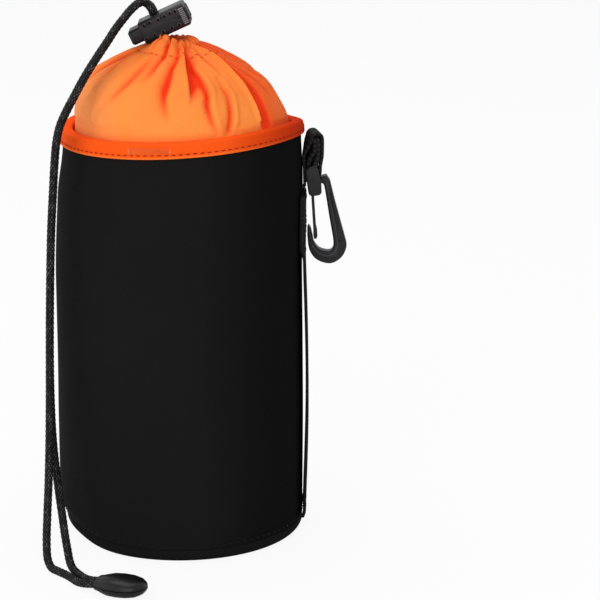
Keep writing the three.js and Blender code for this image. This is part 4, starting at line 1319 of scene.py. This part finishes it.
def in_lock(along, up, out):
    """A point by millimetres along the lock's sleeve, up its cords and out of its front."""
    point = Vector((along * math.cos(LOCK_TURN) - up * math.sin(LOCK_TURN), -LOCK_DEPTH / 2 - out,
                    along * math.sin(LOCK_TURN) + up * math.cos(LOCK_TURN)))
    return LOCK_PLACE + point * MM


def spring_coil():
    """The middle line of the spring's wire, between the plunger and the sleeve's closed end."""
    coil = []
    for share in spread_out(0, 1, SPRING_STEPS + 1):
        turn = share * SPRING_TURNS * 2 * math.pi
        coil.append(in_lock(mix(SPRING_FROM, SPRING_TO, share), SPRING_RADIUS * math.cos(turn),
                            -LOCK_DEPTH / 2 - SPRING_RADIUS * math.sin(turn)))
    return coil


# The floor and the lamps

FLOOR_REACH = 12.0
FLOOR_WHITE = 0.9         # how much of the floor's tone is plain white, as the camera sees it
# Each lamp's place and size, and where they all point
LAMPS = {
    "key": ((-0.2, -1.45, 0.75), 1.6),
    "fill": ((-1.3, -0.35, 0.55), 1.2),
    "top": ((-0.1, 0.25, 1.3), 1.0),
}
LAMPS_AIM = Vector((0, 0, 0.1))
TOP_SHARE = 0.5           # the top lamp's power, as a share of the key lamp's


# Settings that a user would change

COLOUR = {"subtype": "COLOR", "size": 3, "min": 0, "max": 1}
SMALL_LENGTH = {"subtype": "DISTANCE", "unit": "LENGTH", "min": 1 * MM, "max": 6 * MM}


class PouchSettings(bpy.types.PropertyGroup):
    wall_colour: FloatVectorProperty(
        name="Wall colour", description="Colour of the padded wall",
        default=srgb(21, 20, 20), **COLOUR)
    hood_colour: FloatVectorProperty(
        name="Hood colour", description="Colour of the hood's cloth",
        default=srgb(255, 142, 60), **COLOUR)
    tape_colour: FloatVectorProperty(
        name="Tape colour", description="Colour of the folded rim tape",
        default=srgb(252, 92, 26), **COLOUR)
    cord_diameter: FloatProperty(
        name="Cord diameter", description="Thickness of the braided cord",
        default=CORD_DIAMETER, **SMALL_LENGTH)
    rim_stitch_pitch: FloatProperty(
        name="Rim stitch pitch", description="From one stitch of the rim to the next",
        default=2.7 * MM, **SMALL_LENGTH)
    hem_stitch_pitch: FloatProperty(
        name="Hem stitch pitch", description="From one stitch of the base seam to the next",
        default=3.0 * MM, **SMALL_LENGTH)


class PouchStageSettings(bpy.types.PropertyGroup):
    key_strength: FloatProperty(
        name="Key light", description="Power of the large light from the front",
        subtype="POWER", default=15.0, min=0)
    fill_strength: FloatProperty(
        name="Fill light", description="Power of the soft light from the left",
        subtype="POWER", default=2.6, min=0)
    sky_strength: FloatProperty(
        name="Sky", description="Strength of the even light from all round",
        default=0.4, min=0, max=2)


# Operators

class POUCH_OT_camera(bpy.types.Operator):
    """Set up the camera as the photograph was taken"""
    bl_idname = "pouch.camera"
    bl_label = "Camera"

    def execute(self, context):
        lens = bpy.data.cameras.new("camera")
        lens.lens = CAMERA_LENS
        lens.sensor_width = CAMERA_SENSOR
        lens.clip_start = 0.05
        camera = bpy.data.objects.new("camera", lens)
        camera.location = CAMERA_PLACE
        camera.rotation_euler = (CAMERA_PITCH, 0, 0)
        context.scene.collection.objects.link(camera)
        context.scene.camera = camera
        return {"FINISHED"}


class POUCH_OT_cords(bpy.types.Operator):
    """Make the drawcord: its two free tails and the part in the hood's channel"""
    bl_idname = "pouch.cords"
    bl_label = "Drawcord"

    def execute(self, context):
        dark = moulded("dark_cord_end_plastic")
        upper = refined("cord_end_upper", "cord_end_shell_upper", dark, 0.5 * MM, sharp=50)
        lower = refined("cord_end_lower", "cord_end_shell_lower", dark, 0.5 * MM, sharp=50)
        tails = (
            ("cord_tail_front", FRONT_TAIL, "drawcord_tail_front", upper, "cord_knot_front", 0.275),
            ("cord_tail_back", BACK_TAIL, "drawcord_tail_back", lower, "cord_knot_back", 0.271),
        )
        for name, route, node, shell, knot_node, length in tails:
            knot = frame["nodes"][knot_node]
            knot.data.materials.clear()
            knot.data.materials.append(black_braid())
            line = spline([Vector(p) * MM for p in route], CORD_STEP)
            tail = braided_tube(name, line, node)
            [tuple(p) for p in line[::4] + [line[-1]]]
        braided_tube("cord_in_channel", spline(channel_route(), CORD_STEP), "drawcord_ring")
        return {"FINISHED"}


class POUCH_OT_wall(bpy.types.Operator):
    """Make the padded wall with its base seam"""
    bl_idname = "pouch.wall"
    bl_label = "Wall"

    def execute(self, context):
        profile = arc((-WALL_EDGE, WALL_BOTTOM + WALL_EDGE), WALL_EDGE, WALL_EDGE, -90, -30, 3)
        profile += [(0.0, mix(WALL_BOTTOM + WALL_EDGE, WALL_TOP, share**1.15))
                    for share in spread_out(0, 1, WALL_ROWS)]
        profile += [(-WALL_THICKNESS, height)
                    for height in spread_out(WALL_TOP, WALL_BOTTOM, LINING_ROWS)]

        def ripple(angle, off, height):
            return wall_radius(angle, height) + off

        wall = turned_piece("wall", profile, WALL_COLUMNS, neoprene(), ripple=ripple)
        stands_for(wall, "body_wall")
        hem = [lean(around(a, wall_radius(a, HEM_HEIGHT) + 0.05 * MM, HEM_HEIGHT))
               for a in ring_angles(180)]
        sewn("hem_stitches", [hem], thread("black_thread"), stitch_row,
             Pitch=settings().hem_stitch_pitch, Length=2.0 * MM, Thickness=0.5 * MM)
        return {"FINISHED"}


class POUCH_OT_base(bpy.types.Operator):
    """Make the stiffened base and the foam pad that lies on it"""
    bl_idname = "pouch.base"
    bl_label = "Base and pad"

    def execute(self, context):
        radius, top = HEM_RADIUS, BASE_THICKNESS
        profile = [(radius * share, 0.0) for share in (POLE, 0.3, 0.6, 0.8)]
        profile += arc((radius - BASE_CORNER, BASE_CORNER), BASE_CORNER, BASE_CORNER, -90, 0, 11)
        profile += [(radius, top - 0.5 * MM), (radius - 0.1 * MM, top - 0.1 * MM),
                    (radius - 0.4 * MM, top)]
        profile += [(radius * share, top) for share in (0.8, 0.4, POLE)]
        base = turned_piece("base", profile, WALL_COLUMNS, base_cloth(), place=Vector, closed=False,
                            ripple=pushed_in(radius, top))
        stands_for(base, "base_panel")
        low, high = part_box("base_pad")
        outer = high.x
        profile = [(outer * share, low.z) for share in (POLE, 0.5, 0.9)]
        profile += arc((outer - PAD_EDGE, mix(low.z, high.z, 0.5)), PAD_EDGE, PAD_BULGE, -80, 80, 9)
        profile += [(outer * share, high.z - PAD_CROWN * share**4)
                    for share in (0.92, 0.8, 0.6, 0.4, 0.2, POLE)]
        pad = turned_piece("foam_pad", profile, 96, pad_foam(), place=Vector, closed=False,
                           ripple=pushed_in(outer, DENT_LOW))
        stands_for(pad, "base_pad")
        return {"FINISHED"}


class POUCH_OT_rim(bpy.types.Operator):
    """Make the folded tape round the mouth, with its stitches"""
    bl_idname = "pouch.rim"
    bl_label = "Rim tape"

    def execute(self, context):
        outer_face = MOUTH_RADIUS + TAPE_CLEAR
        inner_face = MOUTH_RADIUS - WALL_THICKNESS - TAPE_CLEAR
        inner, inner_bottom = inner_face - 0.9 * MM, WALL_TOP - TAPE_INNER_DROP
        shoulder = WALL_TOP + 0.2 * MM
        profile = [(TAPE_OUTER + off * MM, TAPE_BOTTOM + up * MM) for off, up in TAPE_OUTLINE]
        middle, half = (TAPE_OUTER + inner) / 2 - 0.2 * MM, (TAPE_OUTER - inner) / 2 - 0.2 * MM
        profile += [(middle + half * math.cos(a), shoulder + TAPE_RISE * math.sin(a) ** 0.7)
                    for a in (math.radians(angle) for angle in range(5, 180, 10))]
        profile += [(inner, shoulder - 0.5 * MM), (inner, inner_bottom), (inner_face, inner_bottom),
                    (inner_face, shoulder), (outer_face, shoulder)]

        def ripple(angle, plain, height):
            soft = noise_around(angle, 5, height * 80)
            return plain + TAPE_UNEVEN * soft * smoothstep(plain, MOUTH_RADIUS, TAPE_OUTER)

        def edge(row):
            return 1.0 if row in TAPE_EDGE_ROWS or row == len(profile) - 1 else 0.0

        rim = turned_piece("rim_tape", profile, 320, rim_tape(), ripple=ripple, mark=("edge", edge))
        stands_for(rim, "rim_binding")
        row = [lean(around(a, TAPE_OUTER - 0.05 * MM, TAPE_STITCH)) for a in ring_angles(240)]
        sewn("rim_stitches", [row], thread("dark_orange_thread"), stitch_row,
             Pitch=settings().rim_stitch_pitch, Length=1.7 * MM, Thickness=0.5 * MM)
        zigzag = []
        for k, angle in enumerate(spread_out(BARTACK_FROM, BARTACK_TO, BARTACK_CORNERS)):
            off, up = BARTACK_LOWER if k % 2 else BARTACK_UPPER
            corner = around(math.radians(angle), TAPE_OUTER + off * MM, TAPE_BOTTOM + up * MM)
            zigzag.append(lean(corner))
        sewn("rim_bartack", [zigzag], thread("pale_orange_thread"), thread_line, Thickness=0.36 * MM)
        return {"FINISHED"}


class POUCH_OT_hood(bpy.types.Operator):
    """Make the hood's gathered cloth with its folds and its channel"""
    bl_idname = "pouch.hood"
    bl_label = "Hood"

    def execute(self, context):
        rows = SKIRT_ROWS + HOOD_ROWS + 1 + CHANNEL_ROWS

        def place(row, column):
            point, painted_shade = hood_point(row, 2 * math.pi * column / HOOD_COLUMNS)
            return point, (CLOTH_GIRTH * column / HOOD_COLUMNS, CLOTH_RUN * row / rows), painted_shade

        # each point carries how much painted shade its colour gets
        hood = grid_piece("hood_cloth", rows, HOOD_COLUMNS, place, hood_nylon(), marks=("painted_shade",))
        wall = hood.modifiers.new("cloth", "SOLIDIFY")
        wall.thickness = CLOTH_THICKNESS
        wall.offset = -1
        stands_for(settled(hood), "hood")
        seam_row = SKIRT_ROWS + min(range(HOOD_ROWS), key=lambda k: abs(HOOD_CLIMBS[k] - SEAM_CLIMB))
        seam = [hood_point(seam_row, angle)[0] + 0.2 * MM * UP for angle in ring_angles(400)]
        sewn("channel_stitches", [seam], thread("orange_thread"), stitch_row,
             Pitch=2.2 * MM, Length=1.5 * MM, Thickness=0.36 * MM)
        return {"FINISHED"}


class POUCH_OT_straps(bpy.types.Operator):
    """Make the belt strap and the hook's webbing loop, with their stitches"""
    bl_idname = "pouch.straps"
    bl_label = "Straps"

    def execute(self, context):
        self.belt()
        self.hook_loop()
        patches = []
        for (low, high), crossed in ((CROSSED_PATCH, True), (LOW_PATCH, False)):
            a, b, c, d = (-PATCH_SIDE, low), (PATCH_SIDE, low), (PATCH_SIDE, high), (-PATCH_SIDE, high)
            corners = [a, b, c, d, a, c, d, b] if crossed else [a, b, c, d, a]
            patches.append([on_belt(mix(x0, x1, k / 8), mix(z0, z1, k / 8))
                            for (x0, z0), (x1, z1) in zip(corners, corners[1:]) for k in range(8)])
        sewn("belt_strap_stitches", patches, thread("black_thread"), stitch_row,
             Pitch=2.3 * MM, Length=1.7 * MM, Thickness=0.42 * MM)
        tack = [Vector((beside_wall(height) + WEBBING / 2 + 0.1 * MM,
                        TACK_SIDE if k % 2 else -TACK_SIDE, height))
                for k, height in enumerate(spread_out(*TACK_HEIGHTS))]
        sewn("hook_strap_bartack", [tack], thread("black_thread"), thread_line, Thickness=0.35 * MM)
        return {"FINISHED"}

    def belt(self):
        strap = grid_piece("belt_strap_webbing", BELT_ROWS, len(BELT_SECTION), belt_point,
                           black_webbing(), caps=True)
        stands_for(strap, "belt_strap")

    def hook_loop(self):
        line = hook_strap_line()
        frames = frames_along(line, Vector((0, 1, 0)))
        count = len(line)
        crown = max(range(count), key=lambda i: line[i].z)
        wrap = min(range(crown, count), key=lambda i: line[i].z)

        def place(row, column):
            across, out = LOOP_SECTION[column]
            along = HOOK_STRAP_STEP * row
            across = with_picots(across, HOOK_STRAP_WIDTH, along)
            side, rest = frames[row]
            out *= mix(1, TAIL_SWELL, smoothstep(row - wrap, *SWELL_PAST_BAR))
            out *= mix(1, TAIL_SWELL, fade(count - row, *SWELL_BEFORE_END))
            point = line[row] + side * across + rest * out
            limits = TWIST_BESIDE_WALL if row < crown else TWIST_ABOVE_BAR
            turn = LOOP_TWIST * smoothstep(point.z, *limits)
            off = point.x - BAR.x
            point = Vector((BAR.x + off * math.cos(turn) - point.y * math.sin(turn),
                            off * math.sin(turn) + point.y * math.cos(turn), point.z))
            return point, (across, along)

        webbing = grid_piece("hook_loop_webbing", count, len(LOOP_SECTION), place, black_webbing(),
                             caps=True)
        stands_for(webbing, "hook_strap")


class POUCH_OT_trims(bpy.types.Operator):
    """Make the cord lock and the snap hook"""
    bl_idname = "pouch.trims"
    bl_label = "Lock and hook"

    def execute(self, context):
        worn_and_lit = moulded("worn_lock_plastic")
        refined("lock_sleeve", "lock_body", moulded("dark_lock_plastic"), 0.3 * MM)
        refined("lock_plunger", "lock_button_block", moulded("dark_lock_plastic"), 0.3 * MM)
        # the grip ribs are pale as a painted highlight
        ribs = [[in_lock(9.6, up, 0), in_lock(11.5, up, 0.05)] for up in spread_out(-3.0, 3.0, 9)]
        sewn("lock_grip_ribs", ribs, moulded("pale_lock_plastic"), thread_line, Thickness=0.42 * MM)
        # pale rims and dark middles at the dimples: painted highlight and painted shade
        for name, finish, out, size in (("lock_dimple_rim_highlights", worn_and_lit, -0.2, 1.9 * MM),
                                        ("lock_dimples", moulded("lock_dimple_shadow"), 0.0, 1.5 * MM)):
            dimples = [[in_lock(along - 0.05, up, out), in_lock(along + 0.05, up, out)]
                       for along, up in LOCK_DIMPLES]
            sewn(name, dimples, finish, stitch_row, Pitch=1 * MM, Length=size, Thickness=0.9 * size)
        refined("hook_frame", "snap_hook_frame", moulded("dark_hook_plastic"), 0.45 * MM)
        refined("hook_gate", "snap_hook_gate", moulded("dark_hook_plastic"), 0.2 * MM)
        # a pale line along the hook as a painted highlight
        ridge = spline([Vector((x, RIDGE_FRONT, z)) * MM for x, z in HOOK_RIDGE], 1 * MM)
        sewn("snap_hook_ridge", [ridge], worn_and_lit, thread_line, body="hook", Thickness=0.5 * MM)
        spring = sewn("lock_coil_spring", [spring_coil()], spring_wire(), thread_line,
                      Thickness=SPRING_WIRE * MM)
        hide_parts("lock_spring")
        anchor = in_lock(SPRING_TO + SPRING_WIRE / 2, 0, -LOCK_DEPTH / 2)
        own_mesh(spring)
        return {"FINISHED"}


class POUCH_OT_stage(bpy.types.Operator):
    """Set up the pale floor, the soft lights and the white surroundings"""
    bl_idname = "pouch.stage"
    bl_label = "Stage"

    def execute(self, context):
        scene = context.scene
        scene.view_settings.view_transform = "Standard"
        stage = scene.pouch_stage
        mesh = bpy.data.meshes.new("floor")
        corners = [(-1, -1), (1, -1), (1, 1), (-1, 1)]
        mesh.from_pydata([(FLOOR_REACH * x, FLOOR_REACH * y, 0) for x, y in corners], [],
                         [(0, 1, 2, 3)])
        paper = Finish("pale_floor", Roughness=0.9, Specular_IOR_Level=0.1)
        paper.colour(srgb(244, 244, 244))
        self.show_white(paper)
        floor = finished_object("floor", mesh, paper.material, smooth=False)
        self.lamp("key", stage.key_strength)
        self.lamp("fill", stage.fill_strength)
        self.lamp("top", TOP_SHARE * stage.key_strength)
        self.surroundings(scene, stage.sky_strength)
        return {"FINISHED"}

    def show_white(self, paper):
        """The floor shows nearly white to the camera, and keeps the object's shadow."""
        tree = paper.tree
        seen = paper.node("ShaderNodeLightPath", output="Is Camera Ray")
        glow = tree.nodes.new("ShaderNodeEmission")
        glow.inputs["Color"].default_value = (1, 1, 1, 1)
        output = next(n for n in tree.nodes if n.type == "OUTPUT_MATERIAL")
        self.mixed(tree, seen * FLOOR_WHITE, paper.shader, glow, output)

    def mixed(self, tree, share, one, other, output):
        """A share of one shader and the rest of another go to an output."""
        blend = tree.nodes.new("ShaderNodeMixShader")
        tree.links.new(share.socket, blend.inputs["Fac"])
        tree.links.new(one.outputs[0], blend.inputs[1])
        tree.links.new(other.outputs[0], blend.inputs[2])
        tree.links.new(blend.outputs[0], output.inputs["Surface"])

    def lamp(self, name, power):
        place, size = LAMPS[name]
        data = bpy.data.lights.new(name, "AREA")
        data.energy = power
        data.size = size
        lamp = bpy.data.objects.new(name, data)
        lamp.location = place
        lamp.rotation_euler = (LAMPS_AIM - Vector(place)).to_track_quat("-Z", "Y").to_euler()
        bpy.context.scene.collection.objects.link(lamp)

    def surroundings(self, scene, strength):
        """Even light of a given strength, which shows as plain white."""
        world = bpy.data.worlds.new("surroundings")
        world.use_nodes = True
        scene.world = world
        tree = world.node_tree
        tree.nodes.clear()
        path = tree.nodes.new("ShaderNodeLightPath").outputs
        skies = []
        for power in (strength, 1.0):
            sky = tree.nodes.new("ShaderNodeBackground")
            sky.inputs["Color"].default_value = (1, 1, 1, 1)
            sky.inputs["Strength"].default_value = power
            skies.append(sky)
        shown = Wire(tree, path["Is Camera Ray"]) + Wire(tree, path["Is Glossy Ray"])
        shown = shown.sum("MINIMUM", shown + Wire(tree, path["Is Transmission Ray"]), 1.0)
        self.mixed(tree, shown, *skies, tree.nodes.new("ShaderNodeOutputWorld"))


class POUCH_PT_panel(bpy.types.Panel):
    """The pouch's settings, and a button for each piece"""
    bl_idname = "POUCH_PT_panel"
    bl_label = "Lens Pouch"
    bl_space_type = "VIEW_3D"
    bl_region_type = "UI"
    bl_category = "Pouch"

    def draw(self, context):
        column = self.layout.column()
        for group in (context.scene.pouch_settings, context.scene.pouch_stage):
            for name in group.__annotations__:
                column.prop(group, name)
        for operator in OPERATORS:
            column.operator(operator.bl_idname)


OPERATORS = (
    POUCH_OT_camera, POUCH_OT_cords, POUCH_OT_wall, POUCH_OT_base, POUCH_OT_rim, POUCH_OT_hood,
    POUCH_OT_straps, POUCH_OT_trims, POUCH_OT_stage,
)
CLASSES = (PouchSettings, PouchStageSettings, *OPERATORS, POUCH_PT_panel)


def register():
    for item in CLASSES:
        bpy.utils.register_class(item)
    bpy.types.Scene.pouch_settings = PointerProperty(type=PouchSettings)
    bpy.types.Scene.pouch_stage = PointerProperty(type=PouchStageSettings)


def unregister():
    del bpy.types.Scene.pouch_stage
    del bpy.types.Scene.pouch_settings
    for item in reversed(CLASSES):
        bpy.utils.unregister_class(item)


def main():
    register()
    for operator in OPERATORS:
        group, name = operator.bl_idname.split(".")
        getattr(getattr(bpy.ops, group), name)()


if __name__ == "__main__":
    main()
